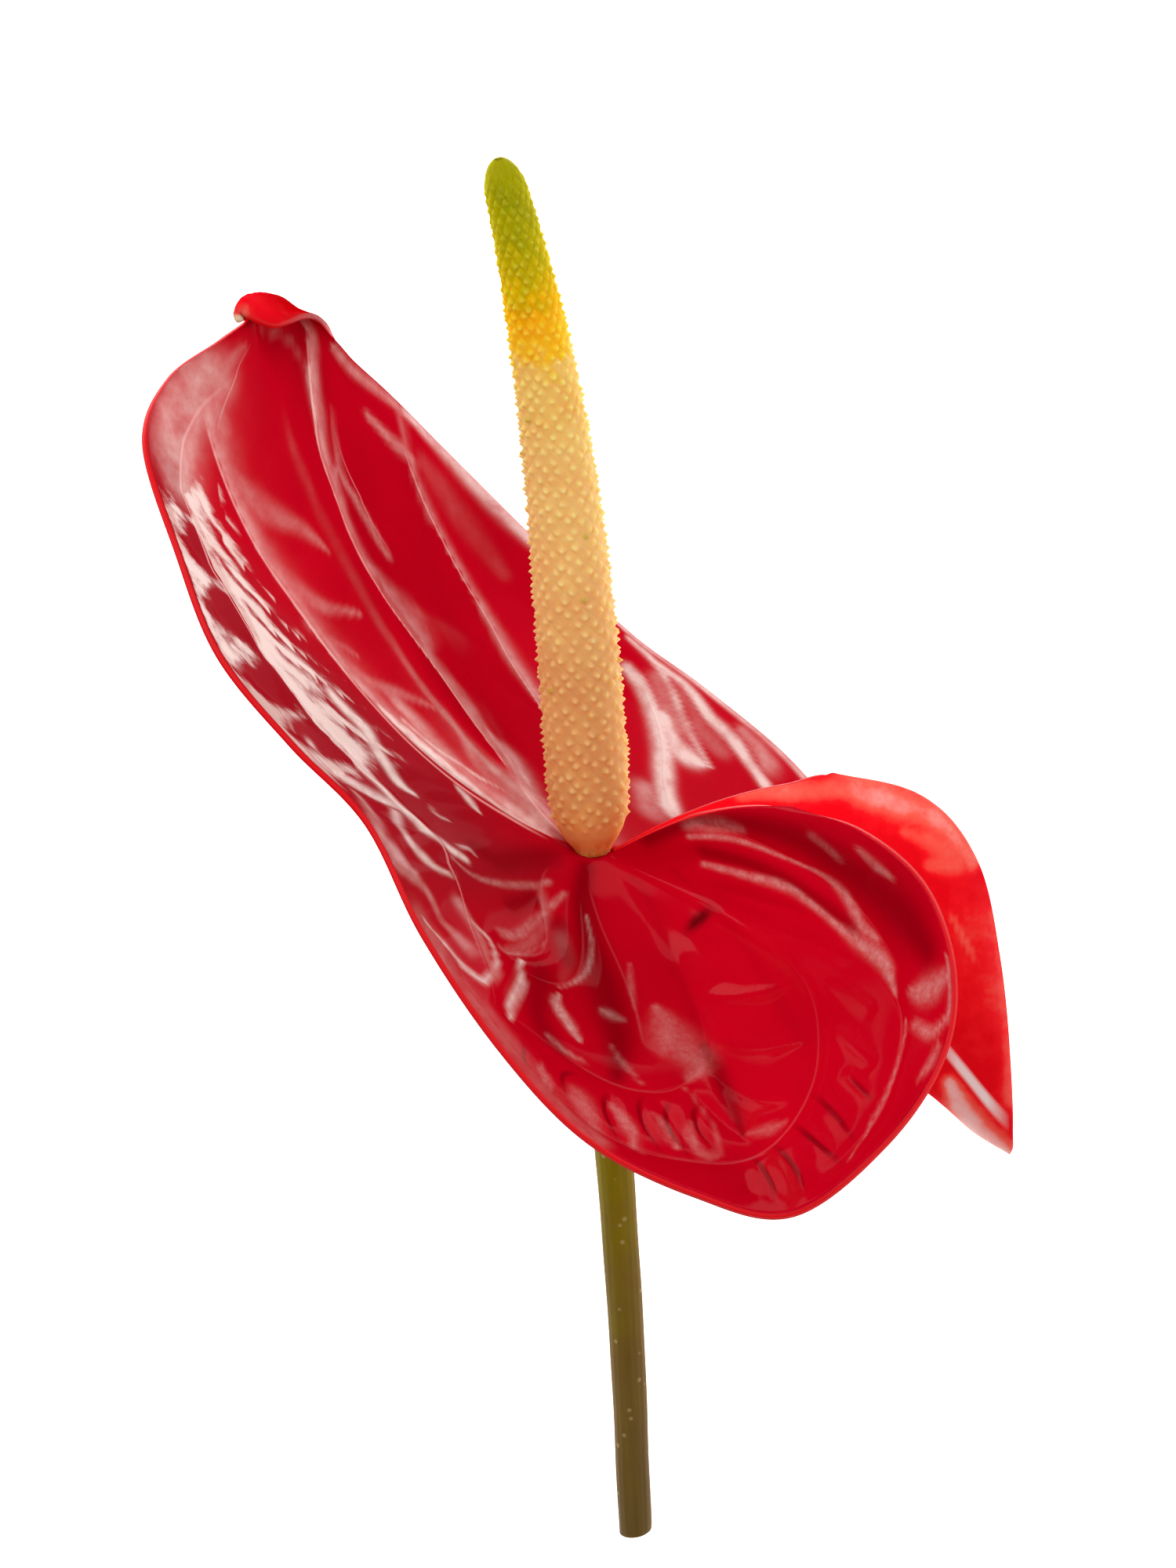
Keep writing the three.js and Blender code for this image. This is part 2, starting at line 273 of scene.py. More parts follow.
# ---- spathe ----------------------------------------------------------------------------------
# One thick leathery bract that clasps the stem, glossy as if varnished in front and satin behind.
# Its main veins stand up like cords and those of the lobes are drawn in. The lobes rise beside the
# sinus, the far side rolls back, and the tip is a small hood with a hooked claw.

SHEET = 0.8  # mm thick
COLLAR_RADIUS = 2.15  # clasps the neck of the spadix
ROLL_START = 0.78  # share of the way out at which the edge begins to roll
ROLL_PEAK = 27 / 4  # makes the highest value of u * u * (1 - u) one
SPATHE_COLUMNS = 480
SPATHE_ROWS = 100
HOOK_STATION = 18.75  # of the claw
HOOK_WIDTH = 0.3  # in stations
HOOK = (0.6, -1.8, 0.6)  # mm by which its point is bent over

EDGE = np.array([  # stations along the free edge in mm from the node, as in the solid
    (24.8, 5.8, 19),  # crest of the near lobe
    (33.4, 3, 25), (41, -3.8, 31), (44.3, -14.3, 37), (42.7, -24.8, 41), (35.6, -35.2, 43.5),
    (24.2, -43.8, 43.5),  # foot of the near lobe
    (12.2, -41.4, 42), (-0.7, -34.9, 40.5), (-11.3, -23.9, 39), (-20.9, -9.8, 38), (-27.9, 4, 36),
    (-37.3, 13.8, 36), (-46.2, 24.7, 35), (-51.4, 37.4, 31.5),
    (-55.9, 51.3, 24),  # near shoulder
    (-53.4, 59.8, 14.5), (-47.3, 65, 7), (-43.6, 68.3, 2.5),
    (-42.6, 69, 0),  # tip
    (-40.2, 67.4, -4.5), (-36.4, 66.2, -12), (-31.6, 64.1, -24),
    (-26.6, 59.6, -36),  # far shoulder
    (-19.5, 52.6, -42.5), (-7.5, 40.6, -42), (4.5, 28.8, -41.5), (14.9, 21.1, -41.5),
    (26.4, 11.4, -42), (35.3, -0.1, -42.5), (41.3, -13, -37), (46.4, -25.4, -27),
    (51.4, -31.9, -18),
    (54, -38.6, -12),  # end of the far lobe
    (53.3, -26.4, -6), (51.7, -13.2, -1), (48.7, -1.2, 3), (42.1, 6.6, 5.5),
    (31.1, 9.5, 6.2),  # crest of the far lobe
])
LAST = len(EDGE) - 1


def at_every_station(rows):
    """Fills a short table of station and x, y, z up to one row for each station."""
    rows = np.array(rows, float)
    every = np.arange(LAST + 1)
    return np.stack([np.interp(every, rows[:, 0], column) for column in rows[:, 1:].T], 1)


BOW = at_every_station([  # how far the blade hangs half way out
    (0, 0.5, 2.3, 2), (1, 0.5, 1, 0), (3, 2, -2, -5), (6, 2, 0, -6), (9, 0, 1, -6),
    (11, -2, -1.5, -4), (14, -4, -2.5, -2.5), (17, -5.2, -3.2, -3), (21, -5.4, -3.4, -3.3),
    (24, -3.5, -2.2, -2), (27, -2, -1.5, -1), (30, 0, 0, 0), (33, 0, 0, 1), (36, 0, 0.5, 2.5),
    (LAST, -0.3, 2, 1.6),
])
ROLL = at_every_station([  # how far it swells past its edge before it turns back
    (17, 0, 0, 0), (18, 0, 0.4, 0), (19, -1.2, 5.2, -1.2), (20, -0.4, 8, -3),
    (21, 0.6, 3.6, -1.2), (22, 0.2, 0.7, -0.5), (23, 0.5, 0.3, 0.2), (25, 0.9, 0.6, 0.3),
    (27, 0.6, 0.4, 0.3), (29, 0, 0, 0), (30, 0, 0, 0), (31, -1.2, -3, -1), (32, -1, -3.2, -1),
    (33, 0, 0, 0), (34, 0.5, 0, 0.8), (37, 0.4, 0.8, 0.8), (LAST, 0.2, 0.6, 0.5),
])
CLAW = at_every_station([  # how far the end of the tip is drawn out
    (18, 0, 0, 0), (19, -3, 0.2, 6), (20, -0.6, -0.4, 8.5), (21, 0.7, 2.4, 8), (22, 0, 0, 2),
    (23, 0, 0, 0),
])
COLLAR = np.array([  # station, and degrees round the stem at which its ray starts
    (0, -24), (3, -40), (6, -66), (9, -104), (12, -142), (15, -177), (17, -200), (20, -219),
    (22, -237), (24, -254), (26, -276), (28, -301), (30, -324), (32, -343), (35, -353),
    (LAST, -361),
])


def blade_point(station, share):
    """The middle of the sheet at a station of the edge and a share of the way out to it."""
    collar_x = np.array((1, 0, 0)) - SPADIX_WAY * SPADIX_WAY[0]
    collar_x /= np.linalg.norm(collar_x)
    turn = np.radians(np.interp(station, *COLLAR.T))[:, None]
    ring = collar_x * np.cos(turn) + np.cross(SPADIX_WAY, collar_x) * np.sin(turn)
    t = share[:, None]
    u = np.clip((t - ROLL_START) / (1 - ROLL_START), 0, None)
    return (
        COLLAR_RADIUS * ring * (1 - t)
        + along(EDGE, station) * t
        + along(BOW, station) * 4 * t * (1 - t)
        + along(ROLL, station) * ROLL_PEAK * u * u * (1 - u)
        + along(CLAW, station) * u**4
        + np.exp(-(((station - HOOK_STATION) / HOOK_WIDTH) ** 2))[:, None] * u**8 * HOOK
    )


def blade_normal(station, share, station_step=0.3, share_step=0.012):
    """Square to the sheet, towards its glossy front, read over a small step each way."""
    s = np.clip(station, station_step, LAST - station_step)
    t = np.clip(share, share_step, 1 - share_step)
    outward = blade_point(s, t + share_step) - blade_point(s, t - share_step)
    onward = blade_point(s + station_step, t) - blade_point(s - station_step, t)
    square = np.cross(onward, outward)
    return square / np.linalg.norm(square, axis=1, keepdims=True)


# The veins as places on the blade, station and share. Those of OUT run outwards and those of
# ROUND run along the edge. Each has a rise and a reach in mm.
MIDRIB = [
    (17, 0.05), (20.4, 0.2), (20.75, 0.3), (20.75, 0.38), (20.3, 0.46), (19.6, 0.54), (19.4, 0.62),
    (19.7, 0.7), (19.9, 0.79), (20.1, 0.85), (20.4, 0.92),
]
FAR_LATERAL = [
    (25.4, 0.1), (25.35, 0.3), (25, 0.46), (24.5, 0.55), (24.2, 0.63), (23.8, 0.7), (23.45, 0.77),
    (23.1, 0.84), (22.85, 0.9),
]
NEAR_LATERAL = [
    (14, 0.06), (14.2, 0.2), (14.6, 0.32), (15.1, 0.44), (15.5, 0.58), (15.7, 0.72), (16.2, 0.92),
]
COLLECTIVE = [
    (9.2, 0.9), (9.8, 0.78), (10.6, 0.66), (11.6, 0.6), (12.6, 0.6), (13.3, 0.67), (13.9, 0.78),
    (14.7, 0.88), (15.6, 0.92), (17, 0.94),
]
INNER_LOOP = [(5.8, 0.3), (6.1, 0.5), (6.7, 0.65), (7.5, 0.75), (8.5, 0.8), (9.2, 0.9)]
OUTER_LOOP = [
    (3.4, 0.3), (4, 0.54), (4.7, 0.67), (5.4, 0.77), (6.1, 0.83), (7, 0.9), (7.9, 0.94),
    (8.8, 0.94), (9.6, 0.93),
]
FAR_FOLD = [(27.8, 0.43), (27.4, 0.53), (27, 0.69), (26.7, 0.78), (26.3, 0.86)]
OUT = [
    (0.5, 2.2, MIDRIB), (0.35, 2, FAR_LATERAL), (0.5, 2, NEAR_LATERAL),
    (0.2, 1.6, [(21.1, 0.84), (21.4, 0.76), (21.6, 0.69), (21.9, 0.64)]),
    (-0.5, 2.5, [(8.4, 0.1), (7.8, 0.25), (7.4, 0.4), (7.3, 0.6)]),
    (-0.9, 2.2, [(10.5, 0.15), (9.4, 0.35), (9, 0.5), (9.4, 0.66)]),
    (-0.7, 1.8, [(8.6, 0.2), (8.3, 0.4), (8.6, 0.58), (9.2, 0.68)]),
    (0.3, 1.2, [(16.3, 0.88), (16.6, 0.91), (17.2, 0.95), (17.7, 0.97)]),
    (0.4, 1.5, FAR_FOLD),
]
ROUND = [
    (0.6, 1.8, COLLECTIVE), (-0.9, 2, INNER_LOOP), (-0.8, 2, OUTER_LOOP),
    (-0.7, 1.8, [(3.2, 0.72), (3.7, 0.83), (4.3, 0.88), (4.9, 0.93), (5.4, 0.95)]),
    (-0.6, 1.6, [(0.3, 0.4), (1.2, 0.53), (1.8, 0.62), (2.4, 0.73), (3.1, 0.81)]),
    (-0.5, 1.5, [(1.7, 0.3), (2.1, 0.5), (2.5, 0.6), (3, 0.71), (3.4, 0.78)]),
]
LADDERS = [  # cross veins: rise, reach, from this vein, to that one, how many, how far on
    (0.3, 1.3, NEAR_LATERAL, COLLECTIVE, 9, 0.12),
    (0.25, 2, NEAR_LATERAL, MIDRIB, 5, 0.12),
    (0.25, 2, MIDRIB, FAR_LATERAL, 5, 0.12),
    (-0.5, 1.2, INNER_LOOP, OUTER_LOOP, 8, 0.05),
]
PANELS = [  # how far the blade sags between two veins that run outwards
    (0.9, NEAR_LATERAL, MIDRIB),
    (1.2, MIDRIB, FAR_LATERAL),
]


# Painted highlights, where the front catches the light: a strength, and a path of station, share
# and reach in mm.
HAZES = [  # soft painted haze on gently curved parts
    (0.56, [(16.6, 0.96, 4), (15.9, 0.95, 5), (15.4, 0.92, 5), (15.2, 0.9, 4.5)]),  # near shoulder
    (0.4, [(16.4, 0.94, 2), (16.4, 0.88, 2)]),
    (0.36, [(17.4, 0.97, 0.7), (16.8, 0.96, 1.2), (16.4, 0.94, 1.4)]),
    (0.32, [(16.2, 0.81, 1.8), (16.4, 0.74, 2), (16.9, 0.69, 1.3), (17.6, 0.62, 0.4)]),
    (0.34, [(15.9, 0.63, 2), (16.2, 0.57, 1.4), (16.6, 0.54, 0.8), (17.3, 0.51, 0.4)]),
    (0.28, [(15.5, 0.56, 1.2), (15.8, 0.51, 1), (16.2, 0.46, 0.4)]),
    (0.34, [(15.6, 0.47, 1.2), (15.9, 0.41, 1.2), (16.7, 0.36, 0.7), (17.8, 0.31, 0.3)]),
    (0.55, [(20.3, 0.88, 0.4), (20.15, 0.86, 0.7), (20.1, 0.82, 0.5)]),  # beside the midrib
    (0.22, [(19, 0.91, 0.4), (19.4, 0.9, 0.6), (19.8, 0.89, 0.6), (20.1, 0.87, 0.5)]),
    (0.35, [(20.2, 0.82, 0.4), (20.3, 0.79, 0.6), (20.6, 0.75, 0.7)]),
    (0.34, [(21.1, 0.86, 0.4), (21.1, 0.82, 0.6), (21.1, 0.76, 0.9), (21.4, 0.71, 1),
        (21.7, 0.64, 0.9)]),
    (0.3, [(20.9, 0.78, 0.8), (20.1, 0.71, 0.7)]),
    (0.38, [(22.2, 0.91, 0.7), (22.7, 0.89, 0.9), (23.1, 0.88, 0.9)]),  # far side
    (0.38, [(23, 0.88, 0.4), (23.2, 0.83, 0.7), (23.4, 0.78, 0.7)]),
    (0.5, [(24.1, 0.66, 0.5), (24.5, 0.57, 0.9), (24.9, 0.51, 0.8)]),
    (0.35, [(21.4, 0.97, 0.5), (22.4, 0.98, 0.8), (23.2, 0.98, 1.1)]),
    (0.75, [(23.2, 0.985, 0.8), (23.8, 0.98, 1.4), (24.6, 0.97, 1.6), (25.2, 0.97, 1)]),
    (0.14, [(23.4, 0.9, 1.6), (24, 0.86, 2), (24.6, 0.82, 1.2)]),
    (0.95, [(15.2, 0.39, 0.9), (15.2, 0.33, 1.3), (15.2, 0.26, 1.3), (15, 0.18, 1),
        (14.7, 0.11, 0.7), (15.4, 0.05, 0.3)]),  # folds that run into the collar
    (0.5, [(16.1, 0.37, 1.2), (16, 0.29, 1.8), (15.6, 0.21, 1.8), (15.5, 0.13, 1.2)]),
    (0.75, [(15.6, 0.34, 0.5), (15.8, 0.26, 0.5), (16.2, 0.2, 0.4), (17, 0.15, 0.2)]),
    (0.62, [(22.1, 0.28, 1), (22.6, 0.23, 2.4), (22.1, 0.14, 2.2), (21.2, 0.08, 1)]),
    (0.42, [(18.2, 0.27, 0.8), (17.5, 0.22, 1.4), (17.2, 0.15, 1.3)]),
    (0.9, [(14.2, 0.25, 0.3), (13.9, 0.23, 0.5), (13.5, 0.22, 0.2)]),
    (1, [(14.4, 0.53, 1), (14.1, 0.46, 1.2), (13.6, 0.45, 1), (13.1, 0.44, 0.9),
        (12.8, 0.42, 0.4)]),  # where the near margin narrows
    (1, [(13.5, 0.66, 1), (13.3, 0.58, 1), (12.7, 0.58, 0.9), (12, 0.59, 1), (11.2, 0.61, 1),
        (10.8, 0.53, 0.7)]),
    (0.9, [(12.6, 0.76, 0.8), (12.1, 0.79, 1.2), (12, 0.71, 1.1), (11.9, 0.6, 1)]),
    (0.9, [(11.6, 0.67, 0.9), (11, 0.78, 1), (10.7, 0.74, 0.9), (10.5, 0.69, 0.5)]),
    (0.55, [(11.6, 0.84, 1), (11.3, 0.88, 1.8), (10.9, 0.97, 2.2), (10.7, 0.93, 2),
        (10.5, 0.88, 1.4)]),
    (0.7, [(11.1, 0.51, 0.2), (11.1, 0.46, 0.4), (10.9, 0.46, 0.2)]),
    (0.6, [(12.6, 0.39, 0.2), (12.2, 0.42, 0.3), (12.2, 0.38, 0.2)]),
    (0.9, [(10.1, 0.96, 0.25), (9.8, 0.92, 0.4), (9.5, 0.89, 0.5), (9.4, 0.88, 0.4)]),  # near lobe
    (0.85, [(9.9, 0.74, 0.3), (9.6, 0.71, 0.5), (9.4, 0.78, 0.7), (9.4, 0.88, 0.5)]),
    (0.4, [(10, 0.86, 0.9), (9.7, 0.84, 1.4)]),
    (0.9, [(9.2, 0.64, 0.3), (9.1, 0.73, 0.8), (9.1, 0.84, 0.8), (9, 0.87, 0.3)]),
    (0.4, [(10.6, 0.99, 0.8), (10.4, 0.87, 1), (10.1, 0.86, 0.8)]),
    (0.28, [(9.2, 0.99, 0.9), (9.1, 0.98, 1.2), (8.8, 0.96, 0.8)]),
    (0.3, [(10.1, 0.97, 2.6), (9.7, 0.97, 2.8), (9.1, 0.96, 2.6), (8.5, 0.97, 2.2),
        (7.9, 0.98, 1.6)]),
    (0.42, [(10.1, 0.74, 1.2), (9.7, 0.76, 1.4), (9.5, 0.81, 0.9)]),
    (0.3, [(9.8, 0.28, 0.8), (9.3, 0.36, 0.9), (9.2, 0.51, 1), (9.4, 0.66, 0.8)]),
    (0.15, [(8.8, 0.42, 1.4), (8.6, 0.48, 1.4), (8.6, 0.56, 0.8)]),
    (1, [(26.1, 0.87, 0.9), (26.4, 0.84, 1.1), (26.7, 0.78, 1.3), (27, 0.69, 1.5),
        (27.4, 0.53, 1.5), (27.8, 0.43, 1.8)]),  # folds of the far side, beyond the spadix
    (0.9, [(26.8, 0.8, 1.2), (27.1, 0.73, 2), (27.3, 0.72, 2.2), (27.5, 0.73, 0.9)]),
    (0.8, [(26, 0.96, 0.5), (26.3, 0.95, 0.7), (26.6, 0.91, 0.7), (27, 0.84, 0.7),
        (27.4, 0.77, 0.6), (27.6, 0.74, 0.4)]),
    (1, [(26.3, 0.95, 0.5), (26.8, 0.94, 0.8), (27.2, 0.9, 1), (27.5, 0.89, 1.2),
        (27.8, 0.86, 0.9), (28.1, 0.84, 1)]),
    (0.65, [(25.3, 0.985, 0.5), (26.5, 0.985, 0.6), (27.5, 0.985, 0.7), (28.2, 0.985, 0.7)]),
    (0.45, [(26.5, 0.9, 1.6), (26.9, 0.82, 2), (27.2, 0.8, 1.4)]),
    (0.5, [(27.5, 0.94, 1), (27.7, 0.93, 1.5), (27.9, 0.91, 1.8)]),
    (0.5, [(27.2, 0.46, 1.8), (27.6, 0.38, 2.4)]),
    (0.3, [(26.7, 0.93, 1.6), (27.1, 0.86, 2.4), (27.5, 0.83, 1.6)]),
]
GLINTS = [  # painted glints in the same way, on sharp, finely wrinkled folds of the near lobe
    (0.35, [(0.3, 0.38, 1), (0.6, 0.47, 1.5), (0.8, 0.54, 0.8)]),  # its crest
    (0.5, [(0.8, 0.33, 0.4), (1.1, 0.46, 0.4), (1.6, 0.57, 0.3), (1.9, 0.66, 0.4), (2.2, 0.7, 0.8),
        (2.6, 0.72, 0.7), (2.8, 0.76, 0.5)]),
    (0.55, [(1.9, 0.29, 0.4), (2.1, 0.41, 0.5), (2.2, 0.51, 0.7), (2.4, 0.57, 0.6),
        (2.7, 0.64, 0.6), (2.9, 0.71, 1.1), (3.1, 0.77, 1.1), (3.5, 0.81, 0.4)]),
    (0.4, [(1.4, 0.89, 0.5), (1.7, 0.89, 0.7), (1.9, 0.91, 0.4)]),
    (0.25, [(1.1, 0.78, 0.6), (1.6, 0.78, 0.6)]),
    (0.5, [(3.4, 0.86, 0.6), (3.3, 0.92, 2), (3.1, 0.97, 1.2)]),
    (0.5, [(2.8, 0.99, 0.25), (3.2, 0.99, 0.4), (3.6, 0.99, 0.5)]),
    (0.45, [(3.8, 0.89, 0.7), (3.8, 0.95, 1), (3.6, 0.98, 0.6)]),
    (0.4, [(4.3, 0.97, 0.5), (4.1, 0.98, 0.8), (3.9, 0.98, 0.6)]),
    (0.4, [(3.8, 0.86, 0.3), (4.2, 0.88, 0.35), (4.7, 0.91, 0.35), (5, 0.93, 0.3),
        (5.3, 0.96, 0.2)]),
    (0.45, [(8.6, 0.91, 0.6), (8.5, 0.93, 0.8), (8.4, 0.97, 0.4)]),  # the cells along its foot
    (0.35, [(8.2, 0.89, 1), (8.1, 0.9, 1.7), (7.9, 0.94, 0.8)]),
    (0.45, [(7.8, 0.84, 0.4), (7.6, 0.88, 0.9), (7.5, 0.94, 0.4)]),
    (0.4, [(7.3, 0.81, 0.4), (7.2, 0.84, 0.9), (7.1, 0.88, 0.4)]),
    (0.4, [(6.9, 0.79, 0.3), (6.9, 0.84, 0.6), (6.8, 0.87, 0.6), (6.6, 0.85, 0.3)]),
    (0.3, [(6.8, 0.68, 0.25), (6.6, 0.77, 0.3), (6.6, 0.85, 0.3)]),
    (0.35, [(6.1, 0.78, 0.5), (5.9, 0.78, 0.9), (5.7, 0.78, 0.4)]),
    (0.38, [(6.9, 0.46, 0.6), (6.8, 0.51, 2), (6.7, 0.56, 3), (6.5, 0.59, 2.2), (6.7, 0.65, 0.6)]),
    (0.8, [(8.6, 0.63, 0.2), (8.6, 0.68, 0.9), (8.4, 0.7, 1), (8.2, 0.72, 0.3)]),
    (0.45, [(8.6, 0.79, 0.4), (8.4, 0.78, 0.4), (8.1, 0.76, 0.3)]),
    (0.45, [(7.9, 0.56, 0.5), (7.8, 0.56, 1), (7.6, 0.55, 0.6)]),
    (0.35, [(7.8, 0.66, 0.3), (7.6, 0.7, 0.5), (7.4, 0.72, 0.2)]),
    (0.3, [(7.2, 0.34, 0.3), (7.3, 0.42, 0.5), (7.3, 0.49, 0.2)]),
    (0.5, [(9.6, 0.63, 0.6), (9.4, 0.56, 0.8), (9.3, 0.38, 0.7), (9.2, 0.24, 0.4)]),  # collar
    (0.4, [(9.5, 0.68, 0.5), (9.3, 0.63, 0.7), (9.1, 0.53, 0.4), (9, 0.46, 0.2)]),
    (0.5, [(8.3, 0.24, 0.2), (8.1, 0.34, 0.3), (8.2, 0.46, 0.4), (8.6, 0.6, 0.3)]),
    (0.45, [(10.8, 0.61, 0.3), (10.5, 0.56, 0.4), (10.2, 0.44, 0.6), (9.8, 0.23, 0.6)]),
]
BEHIND = [  # painted haze right behind a vein: share of the way out, strength and reach
    (MIDRIB, [(0.1, 0.5, 6), (0.27, 0.55, 7), (0.35, 0.52, 8), (0.44, 0.46, 7), (0.53, 0.31, 21),
        (0.61, 0.42, 9.5), (0.7, 0.42, 6), (0.76, 0.4, 8), (0.9, 0.36, 4)]),
    (FAR_LATERAL, [(0.1, 0.4, 5), (0.3, 0.42, 5), (0.5, 0.52, 6), (0.58, 0.5, 5), (0.66, 0.44, 4.4),
        (0.75, 0.36, 3), (0.9, 0.28, 2.4)]),
    (NEAR_LATERAL, [(0.1, 0.8, 5), (0.34, 0.66, 4), (0.5, 0.54, 4), (0.7, 0.46, 4.2),
        (0.9, 0.5, 5)]),
]
FOLD_SHADE = [  # painted shade in the folds, in the same way
    (0.75, [(0.2, 0.19, 1.2), (0.2, 0.46, 1.2), (1, 0.69, 2), (1.8, 0.78, 2.8), (2.4, 0.88, 3),
        (2.8, 0.93, 2)]),  # under the crest of the near lobe
    (0.5, [(1.4, 0.33, 1), (1.9, 0.49, 1), (2.4, 0.62, 1), (2.7, 0.7, 0.8)]),
    (0.75, [(8.9, 0.06, 1.2), (8.3, 0.29, 1.8), (7.9, 0.45, 2.6), (7.7, 0.61, 2.2),
        (7.7, 0.74, 1)]),
    (0.6, [(8.9, 0.62, 2.2), (8.8, 0.77, 2), (8.4, 0.79, 1)]),
    (0.6, [(9.8, 0.49, 1.2), (9.7, 0.36, 1.2)]),
    (0.55, [(8.9, 0.38, 1.5), (8.6, 0.48, 1.4)]),
    (0.5, [(11.5, 0.1, 1.4), (10.8, 0.34, 1.6), (11.2, 0.42, 1.2)]),
    (0.7, [(6.2, 0.53, 0.6), (6.2, 0.6, 1.1), (6.2, 0.71, 0.9), (6.2, 0.78, 0.4)]),
    (0.14, [(4.5, 0.08, 0.4), (5.7, 0.24, 0.7), (6.1, 0.42, 0.9), (6.2, 0.53, 0.8)]),
    (0.12, [(2.2, 0.18, 0.4), (3.8, 0.33, 0.6), (4.6, 0.51, 0.8), (4.9, 0.65, 0.6)]),
    (0.6, [(15, 0.35, 0.4), (14.9, 0.28, 0.6), (14.7, 0.2, 0.6), (14.4, 0.12, 0.5)]),  # collar
]
FOLDS = [  # short sharp folds inside the edge of the near lobe, each also drawn as a line of painted shade: a strength, station and share
    (0.8, [(6.2, 0.83), (6.1, 0.9), (6.1, 0.96)]), (0.8, [(5.9, 0.81), (5.8, 0.89), (5.8, 0.96)]),
    (0.8, [(5.6, 0.79), (5.5, 0.87), (5.4, 0.96)]), (0.7, [(5.25, 0.76), (5.2, 0.85), (5.2, 0.94)]),
    (0.6, [(4.8, 0.8), (4.8, 0.9)]), (0.7, [(6.7, 0.72), (6.8, 0.8), (6.6, 0.85)]),
    (0.7, [(7.05, 0.74), (7.15, 0.84), (6.9, 0.9)]),
    (0.7, [(7.4, 0.76), (7.45, 0.85), (7.2, 0.92)]),
    (0.7, [(7.8, 0.81), (7.85, 0.88), (7.6, 0.95)]),
    (0.6, [(8.15, 0.82), (8.35, 0.88), (8.2, 0.93)]), (0.6, [(8.85, 0.9), (8.7, 0.96)]),
    (0.6, [(6.15, 0.55), (6.25, 0.66), (6.2, 0.78)]),
]
BACK_SHEEN = [  # painted sheen where the back catches the light, in the same way
    (0.55, [(38, 0.59, 1.2), (37.6, 0.84, 1.6), (37.2, 0.86, 2), (36.8, 0.89, 2), (36.5, 0.95, 1.8),
        (36, 0.98, 1.2)]),
    (0.5, [(36.4, 0.84, 0.8), (36.2, 0.89, 1.8), (35.95, 0.92, 2), (35.9, 0.86, 1)]),
    (0.42, [(35.3, 0.88, 0.4), (34.9, 0.92, 0.4)]),
    (0.25, [(35.4, 0.99, 0.5), (34.4, 0.99, 0.6), (33.6, 0.99, 0.8)]),
    (0.85, [(33.4, 0.84, 1), (33, 0.9, 2.4), (32.9, 0.98, 2)]),
    (0.16, [(35.2, 0.95, 4), (34.2, 0.92, 4)]),
]
# the wax itself is thicker on the lobes and worn thin on the tall panels: station and thickness
WAX = [
    (0, 0.14), (8, 0.12), (10, 0.06), (14, 0.03), (18, 0), (24, 0), (26, 0.03), (31, 0.03),
    (33, 0.2),
]
# the flesh is wine red in the near margin, and the front is darker beyond the midrib than on the
# lobes
WINE = [(9.4, 0), (10.5, 0.7), (13.6, 0.8), (14.6, 0.75), (15.6, 0.1), (28, 0.08), (31, 0)]
BEYOND_MIDRIB = [(19.6, 0), (20.8, 0.36), (23.2, 0.36), (24.2, 0.08)]
VEIN_CREST = 0.35  # mm, how round it is
PUCKERS = 22  # short and radial, between the outer veins and the edge
PUCKER_START, PUCKER_STEP = 2.6, 0.62  # in stations
PUCKER_RISE, PUCKER_REACH = -0.35, 1.1
FOLD_RISE, FOLD_REACH = -0.4, 0.7
CROWDED, CROWDED_REACH = 18.3, 1.1  # stations at the tip that crowd together
EVENED_OVER = (-1.4, -0.7, 0, 0.7, 1.4)
# the herringbone of painted highlights in the near margin, in mm: a row of teeth inside the
# collective vein, and one of wedges between it and the edge
MARGIN_WAY = np.array((-0.52, 0.85, 0))
MARGIN_START, MARGIN_END, MARGIN_FADE = 23, 66, 6
MARGIN_STATION = 9.6  # the first that has any
TOOTH_STEP, TOOTH_LEAN = 6.5, 1.8
WEDGE_STEP, WEDGE_START, WEDGE_LEAN = 9.3, 24.3, 5
BLEMISH = (4.25, 0.26)  # a small bruise
BLEMISH_LONG, BLEMISH_WIDE = 1.7, 0.6  # mm
HOOD = (20.3, 0.95)
CLAW_REACH = 0.95  # mm of it that have dried to cream
DRIED = "#e8d9b4"
CORD_WIDTH, FOLD_WIDTH, RIB_WIDTH, BACK_FOLD_WIDTH = 0.36, 0.6, 0.8, 1.6  # mm, as drawn
DRAWN_IN = 0.09  # how pale, as paler tissue and a painted highlight, a vein that doesn't stand up is drawn


def on_vein(vein, shares):
    """Places along a vein, as station and share."""
    return along(np.array(vein, float), np.asarray(shares) * (len(vein) - 1))


def off_path(path, points):
    """How far each point is from a path on the blade, in mm, or in reaches if the path has them."""
    path = on_vein(path, np.linspace(0, 1, 10 * len(path)))
    spots = blade_point(path[:, 0], path[:, 1])
    reach = path[:, 2] if path.shape[1] > 2 else np.ones(len(path))
    nearest = np.full(len(points), 1e9)
    for k in range(len(spots) - 1):
        step = spots[k + 1] - spots[k]
        at = np.clip((points - spots[k]) @ step / (step @ step), 0, 1)
        gap = points - spots[k] - at[:, None] * step
        wide = reach[k] + at * (reach[k + 1] - reach[k])
        nearest = np.minimum(nearest, np.einsum("ij,ij->i", gap, gap) / wide**2)
    return np.sqrt(nearest)


def soft_patches(patches, edge=2.6):
    """The strongest of some patches at each point: full on their paths, faint past their reach."""
    return np.max(
        [strength * np.exp(-0.8 * off_path(path, middle) ** edge) for strength, path in patches],
        axis=0,
    )


def off_spot(station, share):
    """How far each point is from one place on the blade, in mm, as x, y and z."""
    return middle - blade_point(np.array([station]), np.array([share]))


def span(station_step, share_step):
    """How many mm one station, or the whole way out, takes up on the blade at each point."""
    ahead = blade_point(station + station_step, share + share_step)
    behind = blade_point(station - station_step, share - share_step)
    return np.linalg.norm(ahead - behind, axis=1) / (2 * (station_step + share_step))


